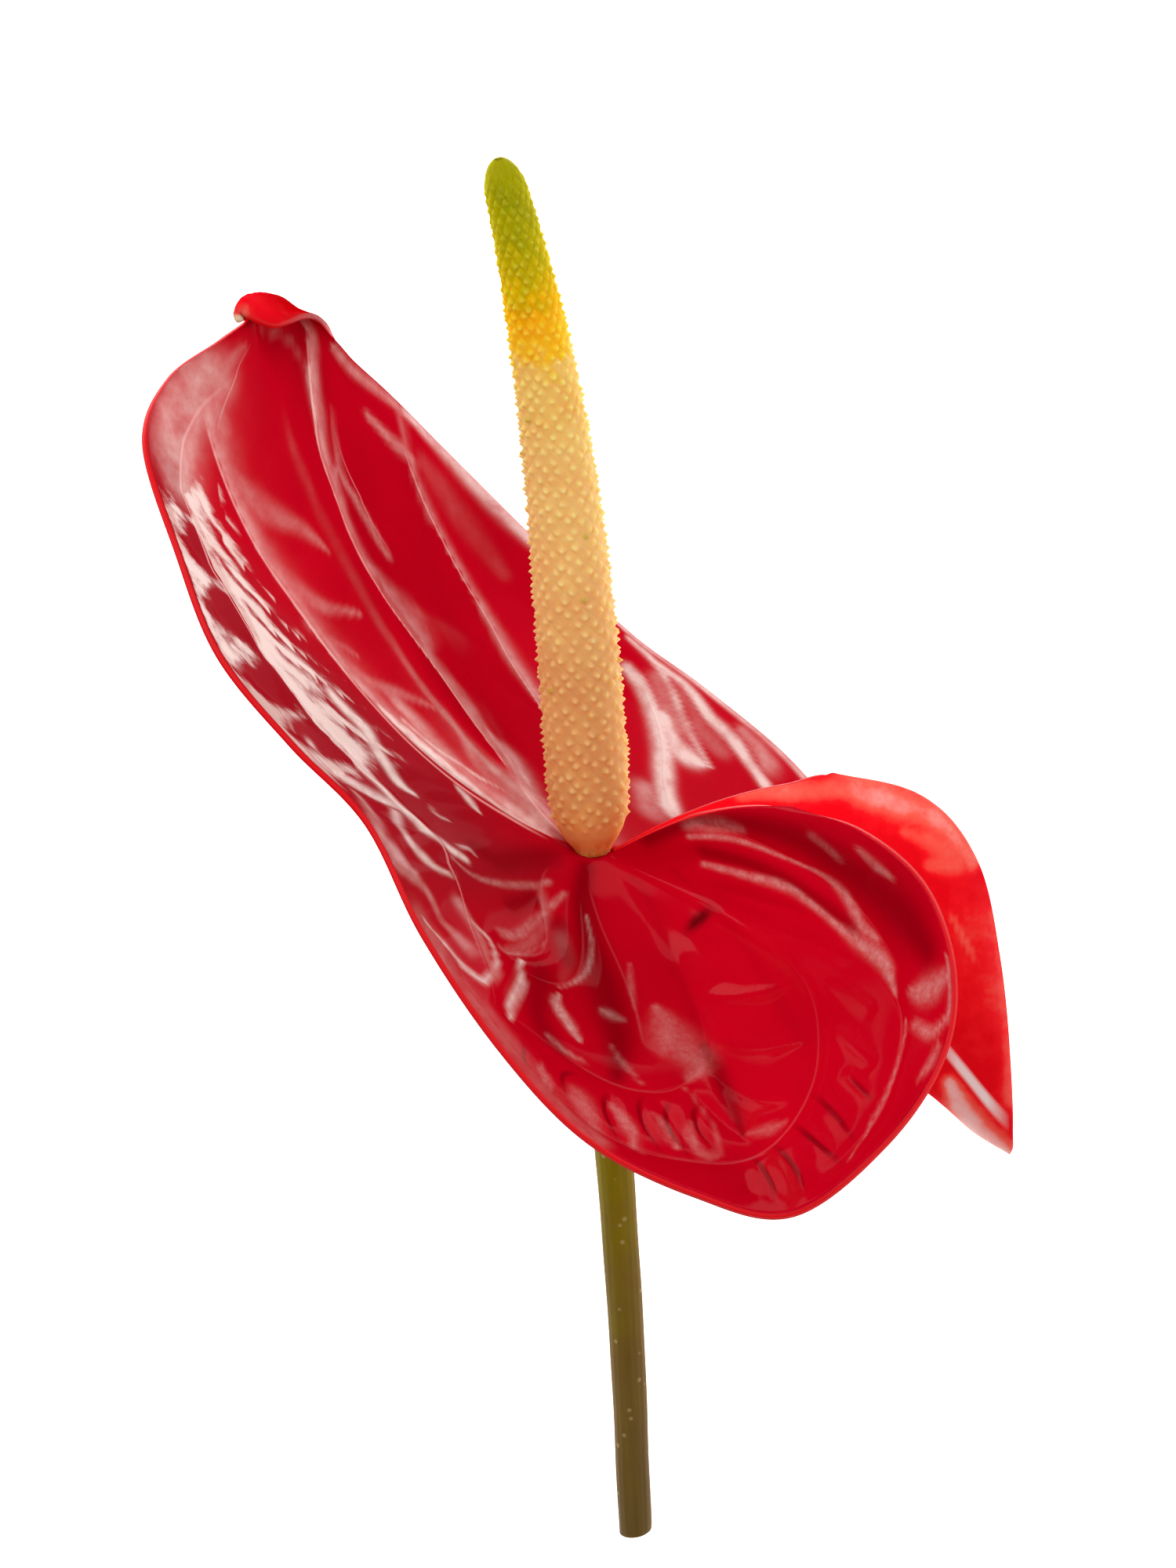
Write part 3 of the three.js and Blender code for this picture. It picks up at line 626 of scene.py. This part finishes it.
def vein_station(vein, share):
    """The station at which a vein that runs outwards passes a share of the way out."""
    stations, shares = np.array(vein).T
    return np.interp(share, shares, stations)


blade, across, share = unit_sheet("spathe_blade", SPATHE_COLUMNS, SPATHE_ROWS)
# columns about 1 mm apart at the edge, though its stations are not
station = np.interp(across, [0, 0.46, 0.6, 0.74, 1], [0, 16.5, 24.5, 28.5, LAST])
corners = np.empty(len(blade.data.loops), int)
blade.data.loops.foreach_get("vertex_index", corners)
places = np.stack([station / LAST, share], 1)[corners]
blade.data.uv_layers.active.data.foreach_set("uv", places.ravel())
middle = blade_point(station, share)
# inside the crowded stations of the tip the blade is evened out
evened = np.mean([blade_point(station + k, share) for k in EVENED_OVER], axis=0)
crowded = np.exp(-(((station - CROWDED) / CROWDED_REACH) ** 2))
crowded *= np.clip((0.9 - share) / 0.2, 0, 1)
middle += (evened - middle) * crowded[:, None]
square = blade_normal(station, share)

veins = OUT + ROUND
for rise, reach, start, end, count, onward in LADDERS:
    for k in range(count):
        rung = (k + 0.7) / (count + 0.5)
        a, b = on_vein(start, rung), on_vein(end, min(1, rung + onward))
        veins.append((rise, reach, [tuple(a), tuple((a + b) / 2 + (0, 0.01)), tuple(b)]))
for k in range(PUCKERS):
    at = PUCKER_START + PUCKER_STEP * k
    ring = np.interp(at, *np.array(OUTER_LOOP + COLLECTIVE[2:]).T)
    path = [(at, ring + 0.01), (at + 0.04, (ring + 1) / 2 + 0.02)]
    veins.append((PUCKER_RISE, PUCKER_REACH, path))
veins += [(FOLD_RISE, FOLD_REACH, path) for _, path in FOLDS]
rises = [
    rise * np.exp((VEIN_CREST - np.hypot(off_path(path, middle), VEIN_CREST)) / reach)
    for rise, reach, path in veins
]
relief = np.max([rise for rise in rises if rise.max() > 0], axis=0)
relief += np.min([rise for rise in rises if rise.min() < 0], axis=0)
for sag, start, end in PANELS:
    low, high = vein_station(start, share), vein_station(end, share)
    relief -= sag * np.sin(np.pi * np.clip((station - low) / (high - low), 0, 1))
# it dies out towards the collar and the edge
relief *= np.clip(share / 0.15, 0, 1) * np.clip((1 - share) / 0.06, 0, 1)
place_points(blade, middle + square * relief[:, None])

station_mm, share_mm = span(0.1, 0), span(0, 0.01)
paint(blade, "station_mm", station_mm)
paint(blade, "share_mm", share_mm)

shine = soft_patches(HAZES)
for path, haze in BEHIND:
    # a dark gap in mm parts it from the near lateral
    gap = np.interp(share, [0.1, 0.34, 0.5], [1.2, 1, 0]) if path is NEAR_LATERAL else 0
    behind = (station - vein_station(path, share)) * station_mm - gap
    out, strength, reach = np.array(haze).T
    flat = 4 if path is MIDRIB else 2
    falls = np.exp(-1.2 * np.clip(behind / np.interp(share, out, reach), 0, 9) ** flat)
    falls *= np.clip(behind / (0.05 + 0.4 * gap), 0, 1)
    shine = np.maximum(shine, np.interp(share, out, strength) * falls)
paint(blade, "shine", shine * np.clip(share / 0.06, 0, 1))
paint(blade, "glint", soft_patches(GLINTS))

# the herringbone of painted highlights is a field that passes 0.5 where dull turns to bright
off_collective = off_path(COLLECTIVE, middle)
off_lateral = off_path(NEAR_LATERAL, middle)
off_edge = (1 - share) * share_mm
onward = middle @ MARGIN_WAY
inner = off_collective / (off_collective + off_lateral)
outer = off_collective / (off_collective + off_edge + 0.01)
teeth = (onward + TOOTH_LEAN * off_collective) / TOOTH_STEP % 1
inner_row = 0.5 + (0.86 - 0.5 * teeth - inner) / 0.5
wedge = abs(((onward - WEDGE_START - WEDGE_LEAN * outer) / WEDGE_STEP + 0.5) % 1 - 0.5)
outer_row = 0.5 + (0.06 + 0.6 * outer**1.5 - wedge) / 0.35
outer_row = np.minimum(outer_row, 0.5 + (off_edge - 0.6) / 0.5)
within = (station > MARGIN_STATION) & (station < vein_station(NEAR_LATERAL, share))
within &= onward < MARGIN_END + 4
collective = np.interp(station, *np.array(COLLECTIVE).T)
herringbone_highlight = np.where(share < collective, inner_row, outer_row)
ends = np.minimum(onward - MARGIN_START, MARGIN_END - onward) / MARGIN_FADE
herringbone_highlight = np.clip(np.minimum(herringbone_highlight, 0.5 + ends), -0.3, 0.95)
paint(blade, "herringbone_highlight", np.where(within, herringbone_highlight, -0.3))

from_collar = np.clip(share / 0.3, 0, 1)
paint(blade, "wax", np.interp(station, *np.array(WAX).T))
paint(blade, "wine", np.interp(station, *np.array(WINE).T) * from_collar)
darker_and_fold_shade = np.interp(station, *np.array(BEYOND_MIDRIB).T) * from_collar * (station < 31)
paint(blade, "darker_and_fold_shade", np.maximum(darker_and_fold_shade, soft_patches(FOLD_SHADE, 2.2)))
paint(blade, "sheen_and_mottle", soft_patches(BACK_SHEEN))
off_claw = np.linalg.norm(off_spot(HOOK_STATION, 1), axis=1)
paint(blade, "claw", np.exp(-((off_claw / CLAW_REACH) ** 4)))
off_hood = np.linalg.norm(off_spot(*HOOD), axis=1)
paint(blade, "hood", np.clip(1.6 - off_hood / 6, 0, 1))
off_blemish = off_spot(*BLEMISH)  # it lies aslant
long = 0.7 * (off_blemish[:, 0] + off_blemish[:, 1]) / BLEMISH_LONG
wide = 0.7 * (off_blemish[:, 1] - off_blemish[:, 0]) / BLEMISH_WIDE
paint(blade, "blemish", np.clip(1.5 * np.exp(-(long**2) - wide**2), 0, 1))


def drawn_lines(add, group, runs_out, width):
    """Draws paths on the blade as soft lines of a width in mm, and returns the strongest."""
    on_blade = add("SeparateXYZ", {0: add("TexCoord").outputs["UV"]})
    first, second = ("Y", "X") if runs_out else ("X", "Y")
    size = add("Attribute", attribute_name="station_mm" if runs_out else "share_mm")
    size = add("Math", {0: size.outputs["Fac"], 1: LAST if runs_out else 1}, operation="MULTIPLY")
    lines = None
    for strength, path in group:
        spots = [(at / LAST, out) for at, out in path]
        spots = [(out, at) if runs_out else (at, out) for at, out in spots]
        course = add("FloatCurve", {"Value": on_blade.outputs[first]})
        curve = course.mapping.curves[0]
        curve.points[0].location, curve.points[1].location = spots[0], spots[-1]
        for spot in spots[1:-1]:
            curve.points.new(*spot)
        course.mapping.update()
        off = add("Math", {0: on_blade.outputs[second], 1: course}, operation="SUBTRACT")
        off = add("Math", {0: off, 1: size}, operation="MULTIPLY")
        off = add("Math", {0: off}, operation="ABSOLUTE")
        line = add(
            "MapRange",
            {"Value": off, "From Min": 0.28 * width, "From Max": width, "To Min": strength,
             "To Max": 0},
            interpolation_type="SMOOTHSTEP",
        )
        fade = min(0.06, (spots[-1][0] - spots[0][0]) / 3)
        for end, inside in ((spots[0][0], fade), (spots[-1][0], -fade)):
            reached = add(
                "MapRange",
                {"Value": on_blade.outputs[first], "From Min": end, "From Max": end + inside},
            )
            line = add("Math", {0: line, 1: reached}, operation="MULTIPLY")
        lines = line if lines is None else add("Math", {0: lines, 1: line}, operation="MAXIMUM")
    return lines


# The glossy front: a thick waxy cuticle over deep red flesh, clear and wet-looking, with painted
# highlights and haze where it catches the light. Each vein is a fine paler cord with a painted
# highlight, drawn from the same places as its relief, because the mesh is too coarse.
add, place, shine, glint, herringbone_highlight, wax, wine, darker_and_fold_shade, bruise, claw = new_finish(
    blade, "glossy waxed red spathe",
    "shine", "glint", "herringbone_highlight", "wax", "wine", "darker_and_fold_shade", "blemish", "claw",
)
cords_and_highlights = []
for group, runs_out in ((OUT, True), (ROUND, False)):
    group = [(2 * rise if rise > 0 else DRAWN_IN, path) for rise, _, path in group]
    cords_and_highlights.append(drawn_lines(add, group, runs_out, CORD_WIDTH))
cords_and_highlights = add("Math", {0: cords_and_highlights[0], 1: cords_and_highlights[1]}, operation="MAXIMUM")
fold_shade_lines = drawn_lines(add, FOLDS, True, FOLD_WIDTH)
hatching = add(  # strokes 9 mm long and 1 mm apart that run down and across the blade
    "Mapping",
    {"Vector": place, "Rotation": (0, 0, -0.75), "Scale": (0.009, 0.0011, 0.004)},
    vector_type="TEXTURE",
)
hatched = add("TexNoise", {"Vector": hatching, "Scale": 1, "Detail": 5, "Roughness": 0.62})
stroke = add("Math", {0: hatched, 1: 0.5}, operation="SUBTRACT")
herringbone_highlight = add("Math", {0: stroke, 1: 2.2, 2: herringbone_highlight}, operation="MULTIPLY_ADD")
herringbone_highlight = add(
    "MapRange", {"Value": herringbone_highlight, "From Min": 0.25, "From Max": 1},
    interpolation_type="SMOOTHSTEP",
)
clouds, patches, wrinkles, creases, cells = (
    add("TexNoise", {"Vector": place, "Scale": scale, "Detail": detail, "Roughness": rough})
    for scale, detail, rough in (
        (45, 4, 0.5),  # 22 mm across
        (320, 3, 0.6),  # the haze is ragged over 3 mm
        (800, 4, 0.75),  # the glints are wrinkled over 1.2 mm
        (140, 5, 0.55),  # 7 mm apart
        (700, 3, 0.6),  # drawn 1.4 mm wide so that they show
    )
)
ragged = add("Math", {0: patches, 1: 1.3, 2: 0.35}, operation="MULTIPLY_ADD")
shine = add("Math", {0: shine, 1: ragged}, operation="MULTIPLY", use_clamp=True)
wrinkled = add(
    "MapRange",
    {"Value": wrinkles, "From Min": 0.35, "From Max": 0.65, "To Min": 0.6, "To Max": 1.1},
)
glint = add("Math", {0: glint, 1: wrinkled}, operation="MULTIPLY")
bright = add("Math", {0: shine, 1: glint}, operation="MAXIMUM")
bright = add("Math", {0: bright, 1: herringbone_highlight}, operation="MAXIMUM")
wax = add("Math", {0: bright, 1: 0.5, 2: wax}, operation="MULTIPLY_ADD")
painted_highlight = add("Math", {0: bright, 1: 1.6}, operation="POWER")
colour = add("ValToRGB", {"Fac": clouds}, stops=[(0.3, "#c2001a"), (0.7, "#d2001e")])
for amount, over in (
    (wine, "#9c1824"),
    # painted shade in the folds, and a darker red beyond the midrib
    (add("Math", {0: darker_and_fold_shade, 1: fold_shade_lines}, operation="MAXIMUM"), "#84000e"),
    # the veins: paler tissue with a painted highlight along each
    (add("Math", {0: cords_and_highlights, 1: 0.75}, operation="MULTIPLY"), "#f6a0a0"),
    # painted highlights, pale pink to near white, from the haze, glints and herringbone
    (add("Math", {0: painted_highlight, 1: 0.8}, operation="MULTIPLY"), "#fbe4dc"),
    (add("Math", {0: bruise, 1: 0.85}, operation="MULTIPLY"), "#4a0508"),
    (claw, DRIED),
):
    colour = add("MixRGB", {"Fac": amount, "Color1": colour, "Color2": linear(over)})
bumps = add("Bump", {"Height": creases, "Strength": 0.35, "Distance": 0.0006})
for height, strength in ((cells, 0.12), (cords_and_highlights, 0.5)):
    bumps = add(
        "Bump", {"Height": height, "Normal": bumps, "Strength": strength, "Distance": 0.0002}
    )
shader = add(
    "BsdfPrincipled",
    {"Base Color": colour, "Normal": bumps, "Roughness": 0.3, "IOR": 1.4,
     "Specular IOR Level": 0, "Coat Weight": wax, "Coat Roughness": 0.1},
)
add("OutputMaterial", {"Surface": shader})

# The satin back: thinner wax, a lighter orange red painted lighter still for the light that shines
# through it, with random paler clouds and a painted sheen where it catches the light.
add, place, sheen_and_mottle, hood, claw = new_finish(
    blade, "satin red spathe back", "sheen_and_mottle", "hood", "claw"
)
clouds, grit, cells = (
    add("TexNoise", {"Vector": place, "Scale": scale, "Detail": detail, "Roughness": rough})
    for scale, detail, rough in (
        (90, 5, 0.6),  # 11 mm across
        (420, 4, 0.7),  # 2.4 mm apart
        (800, 2, 0.5),  # drawn 1.2 mm wide so that they show
    )
)
freckled = add("Math", {0: grit, 1: 0.5, 2: clouds}, operation="MULTIPLY_ADD")
freckled = add("Math", {0: freckled, 1: 0.75}, operation="SUBTRACT")
sheen_and_mottle = add("Math", {0: freckled, 1: 0.7, 2: sheen_and_mottle}, operation="MULTIPLY_ADD")
gloss = add("Math", {0: sheen_and_mottle, 1: 0.4, 2: 0.03}, operation="MULTIPLY_ADD")
# a painted white highlight along the fold near the end of the far lobe
back_fold_highlight = [(1, [(33.85, 0.8), (33.6, 0.88), (33.45, 0.94), (33.4, 0.99)])]
back_fold_highlight = drawn_lines(add, back_fold_highlight, True, BACK_FOLD_WIDTH)
ribs = [(0.7, path) for path in (MIDRIB, FAR_LATERAL, NEAR_LATERAL)] + [(0.35, FAR_FOLD)]
ribs = drawn_lines(add, ribs, True, RIB_WIDTH)
# pale red to near white where the sheen is painted
colour = add(
    "ValToRGB", {"Fac": sheen_and_mottle},
    stops=[(0, "#f00e1e"), (1, "#fde8e4"), (0.15, "#fc1c26"), (0.5, "#ff6a5a")],
)
for amount, over in ((back_fold_highlight, "#fff6f2"), (ribs, "#c4040e"), (hood, "#c20006"), (claw, DRIED)):
    colour = add("MixRGB", {"Fac": amount, "Color1": colour, "Color2": linear(over)})
bumps = add("Bump", {"Height": cells, "Strength": 0.2, "Distance": 0.0002})
bumps = add("Bump", {"Height": ribs, "Normal": bumps, "Strength": 0.8, "Distance": 0.0006})
shader = add(
    "BsdfPrincipled",
    {"Base Color": colour, "Normal": bumps, "Roughness": 0.42, "IOR": 1.4,
     "Specular IOR Level": 0, "Coat Weight": gloss, "Coat Roughness": 0.3},
)
add("OutputMaterial", {"Surface": shader})

# The rim: the thin cut-like edge of the sheet, where the flesh shows through brighter.
add, _, hood, claw = new_finish(blade, "bright red spathe rim", "hood", "claw")
colour = linear("#e3141c")
for amount, over in ((hood, "#a8000e"), (claw, DRIED)):
    colour = add("MixRGB", {"Fac": amount, "Color1": colour, "Color2": linear(over)})
shader = add(
    "BsdfPrincipled",
    {"Base Color": colour, "Roughness": 0.4, "IOR": 1.4, "Specular IOR Level": 0.15},
)
add("OutputMaterial", {"Surface": shader})

# the sheet's back and rim take the second and third finish
solid = blade.modifiers.new("thickness", "SOLIDIFY")
solid.thickness = SHEET * MM
solid.offset = 0
solid.material_offset = 1
solid.material_offset_rim = 2
bpy.ops.object.modifier_apply(modifier="thickness")
bpy.ops.object.shade_smooth()
bpy.ops.object.select_all(action="DESELECT")

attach(blade, "root")
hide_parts("spathe")

# ---- spadix ----------------------------------------------------------------------------------
# The fleshy spike that carries the flowers. Four-sided florets cover it in crossing spirals, each
# with a pale bead of stigma in its middle; they open from the foot up, so the tip is still green.

SPADIX_LINE = np.array([  # centre line in mm from the node
    0.15 * SPADIX_WAY,
    (-0.5, 5.8, 2.2),
    (-1.2, 15.7, 6.2),
    (-2.4, 30.5, 12.2),
    (-4, 46.1, 18.4),
    (-6.3, 61.5, 24.6),
    (-9, 74.8, 30.2),
    (-11.8, 85.9, 34.9),
])
FLORET_PITCH = 1.13  # from one row of florets to the next
FLORETS_ROUND = 14
FLORET_RISE = 0.12  # of a floret's four tepals over the furrows between florets
BEAD_RISE = 0.75
BEAD_RADIUS = 0.56
BEAD_WANDER = 0.3  # how far a bead may sit off the middle of its floret
BEAD_PALE = 0.36  # radius of a bead's paler middle
LUCK_ROWS = 200  # of florets that get their own luck, more than there are
POINTS_PER_FLORET = 12  # round the spadix
ROWS_PER_FLORET = 6  # along it
TIP_LENGTH = 4.5  # of the rounded end
SPECK_LUCK = 0.975  # of the few florets whose bead has gone green
SPECK_START, SPECK_END = 20, 64

spike = line_length(SPADIX_LINE)[1][-1]
TAPER = np.array([  # length from the foot, and radius
    (0, 2.1), (1, 2.6), (2, 3.3), (3, 3.9), (4.2, 4.4), (6, 4.85), (10, 5.1), (25, 5.05),
    (40, 4.75), (55, 4.25), (70, 3.6), (82, 2.95), (spike, 2.4),
])
floret_rows = np.arange(0, spike, FLORET_PITCH / ROWS_PER_FLORET)
lengths = np.concatenate([[0], floret_rows, spike - 0.2 * np.array([0.5, 0.2, 0.05, 0])])
past = np.clip((lengths - spike + TIP_LENGTH) / TIP_LENGTH, 0, 1)
radii = np.interp(lengths, *TAPER.T) * np.sqrt(1 - past**2)
radii[0] = 0
grown = np.interp(lengths, [0, 2.5, 6, 66, 80, 90, spike], [0, 0, 0.7, 0.7, 1.7, 1.6, 0.4])
beaded = np.interp(lengths, [0, 3, 6, 66, 78, 88, spike], [0, 0, 1, 1, 0.6, 0.3, 0])


def floret_place(length, turn):
    """How near the edge of the nearest floret is, from 0 at its middle to 1, how far off its middle
    is, round and along in florets, and its row and column. Every other row is shifted by half."""
    shift = np.array([[0], [1]])
    row = 2 * np.rint((length / FLORET_PITCH - shift) / 2) + shift
    column = turn * FLORETS_ROUND / (2 * np.pi) - 0.5 * shift
    near = np.rint(column)
    off_row, off_column = length / FLORET_PITCH - row, column - near
    edge = (abs(off_column) + abs(off_row) / 2) * 2
    found = edge, off_column, off_row, row, near % FLORETS_ROUND
    return [np.where(edge[1] < edge[0], odd, even) for even, odd in found]


chance, wander = np.random.default_rng(7).random((2, LUCK_ROWS, FLORETS_ROUND + 1))


def off_bead(length, turn, row):
    """The distance in mm from the bead of the nearest floret, and that floret's luck."""
    _, off_column, off_row, floret_row, floret_column = floret_place(length, turn)
    floret = floret_row.astype(int) % LUCK_ROWS, floret_column.astype(int)
    across = off_column * 2 * np.pi * np.maximum(radii[row], 0.5) / FLORETS_ROUND
    across -= BEAD_WANDER * np.cos(2 * np.pi * wander[floret])
    onward = off_row * FLORET_PITCH - BEAD_WANDER * np.sin(2 * np.pi * wander[floret])
    return np.hypot(across, onward), chance[floret]


def floret_relief(length, turn, row):
    """The height of tepals and beads over the spadix, and no lean."""
    edge = floret_place(length, turn)[0]
    off, luck = off_bead(length, turn, row)
    bead = BEAD_RISE * (0.5 + 0.5 * luck) * np.clip(1 - off / BEAD_RADIUS, 0, 1) ** 1.6
    tepals = FLORET_RISE * (0.5 - np.clip(edge, 0, 1) ** 3) * grown[row]
    return tepals + bead * beaded[row], np.zeros(len(row))


spadix, length, turn, row = round_piece(
    "spadix_spike", SPADIX_LINE, lengths, radii, POINTS_PER_FLORET * FLORETS_ROUND, floret_relief
)
edge = floret_place(length, turn)[0]
off, luck = off_bead(length, turn, row)
bead = np.exp(-((off / BEAD_PALE) ** 2)) * (0.4 + 0.6 * luck)
paint(spadix, "height", length / spike)
paint(spadix, "furrow", np.clip(edge, 0, 1) ** 4 * grown[row])
paint(spadix, "bead", bead * beaded[row])
paint(spadix, "luck", luck)
speck = bead * (luck > SPECK_LUCK) * (length > SPECK_START) * (length < SPECK_END)
paint(spadix, "speck", speck)
close_up()

# Living flower tissue: soft, waxy and slightly see-through, tan at the foot where the florets
# are spent, cream and then yellow above it, and green at the young tip.
add, place, height, furrow, bead, luck, speck = new_finish(
    spadix, "waxy cream floret skin", "height", "furrow", "bead", "luck", "speck"
)
shifted = add("Math", {0: luck, 1: 0.035, 2: height}, operation="MULTIPLY_ADD")
ripeness = add(
    "ValToRGB", {"Fac": shifted},
    stops=[
        # the lowest stops are painted lighter than the foot's tan, to make up for the shade at the
        # foot
        (0, "#e07818"), (1, "#9c9a00"), (0.04, "#f2aa60"), (0.12, "#e6a968"),
        (0.3, "#e3ab6b"), (0.45, "#f0c279"), (0.6, "#f1c879"), (0.72, "#f0c768"),
        (0.755, "#f8c420"), (0.8, "#f6ba00"), (0.85, "#d0b400"), (0.92, "#b0a800"),
    ],
)
uneven = add("TexNoise", {"Vector": place, "Scale": 220, "Detail": 2})  # over 4.5 mm
colour = add("MixRGB", {"Fac": 0.25, "Color1": ripeness, "Color2": uneven}, blend_type="OVERLAY")
edged = add(  # the closed florets of the tip have paler edges
    "MapRange",
    {"Value": height, "From Min": 0.78, "From Max": 0.85, "To Min": 0.1, "To Max": 0.14},
)
edging = add("ValToRGB", {"Fac": height}, stops=[(0.76, "#d09a48"), (0.82, "#d8d400")])
for amount, over in (
    (add("Math", {0: furrow, 1: edged}, operation="MULTIPLY"), edging),
    (add("Math", {0: bead, 1: 0.08}, operation="MULTIPLY"), linear("#f7e6c0")),
    (speck, linear("#a08c24")),
):
    colour = add("MixRGB", {"Fac": amount, "Color1": colour, "Color2": over})
cells = add("TexNoise", {"Vector": place, "Scale": 1500, "Detail": 2})  # 0.7 mm across
bumps = add("Bump", {"Height": cells, "Strength": 0.2, "Distance": 0.0001})
shader = add(
    "BsdfPrincipled",
    {"Base Color": colour, "Normal": bumps, "Roughness": 0.55, "IOR": 1.4,
     "Specular IOR Level": 0.08, "Subsurface Weight": 1, "Subsurface Scale": 0.003,
     "Subsurface Radius": (1, 0.6, 0.3)},
)
add("OutputMaterial", {"Surface": shader})

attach(spadix, "root")
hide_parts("spadix")

# ---- surface, light and camera ---------------------------------------------------------------
# A plain white table that glows round the flower, in a dim room with three large soft lights:
# what mirrors the table shines, and what mirrors the room stays deep in colour.

bpy.ops.mesh.primitive_plane_add(size=6)
floor = bpy.context.object
floor.name = "floor"
add, place = new_finish(floor, "matt white lit board")
from_middle = add("VectorMath", {0: place}, operation="LENGTH")
glow = add(
    "MapRange",
    {"Value": from_middle.outputs["Value"], "From Min": 0.25, "From Max": 0.7, "To Min": 1.1,
     "To Max": 0},
    interpolation_type="SMOOTHSTEP",
)
shader = add(
    "BsdfPrincipled",
    {"Base Color": linear("#fbfbfb"), "Roughness": 1, "Specular IOR Level": 0,
     "Emission Color": linear("#ffffff"), "Emission Strength": glow},
)
add("OutputMaterial", {"Surface": shader})
floor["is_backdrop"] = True

world = bpy.data.worlds.new("dim room")
bpy.context.scene.world = world
world.use_nodes = True
world.node_tree.nodes.clear()
add = partial(add_node, world.node_tree)
light = add("Background", {"Color": linear("#ffffff"), "Strength": 0.08})
add("OutputWorld", {"Surface": light})

for name, spot, power in (
    ("left soft light", (-0.93, 0.34, 0.99), 12),
    ("right soft light", (1.12, -0.41, 0.74), 10),
    ("far soft light", (0, 0.8, 1.15), 6.5),
):
    bpy.ops.object.light_add(type="AREA", location=spot)
    lamp = bpy.context.object
    lamp.name = name
    lamp.data.size = 1
    lamp.data.energy = power
    lamp.rotation_mode = "QUATERNION"
    lamp.rotation_quaternion = Vector(spot).to_track_quat("Z", "Y")

# a long lens one metre above the node
bpy.ops.object.camera_add(location=((NODE + (-0.7, 8.8, 1000)) * MM).tolist())
camera = bpy.context.object
camera.data.sensor_width = 36
camera.data.lens = 180
bpy.context.scene.camera = camera
bpy.context.scene.view_settings.view_transform = "Standard"

low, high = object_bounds()
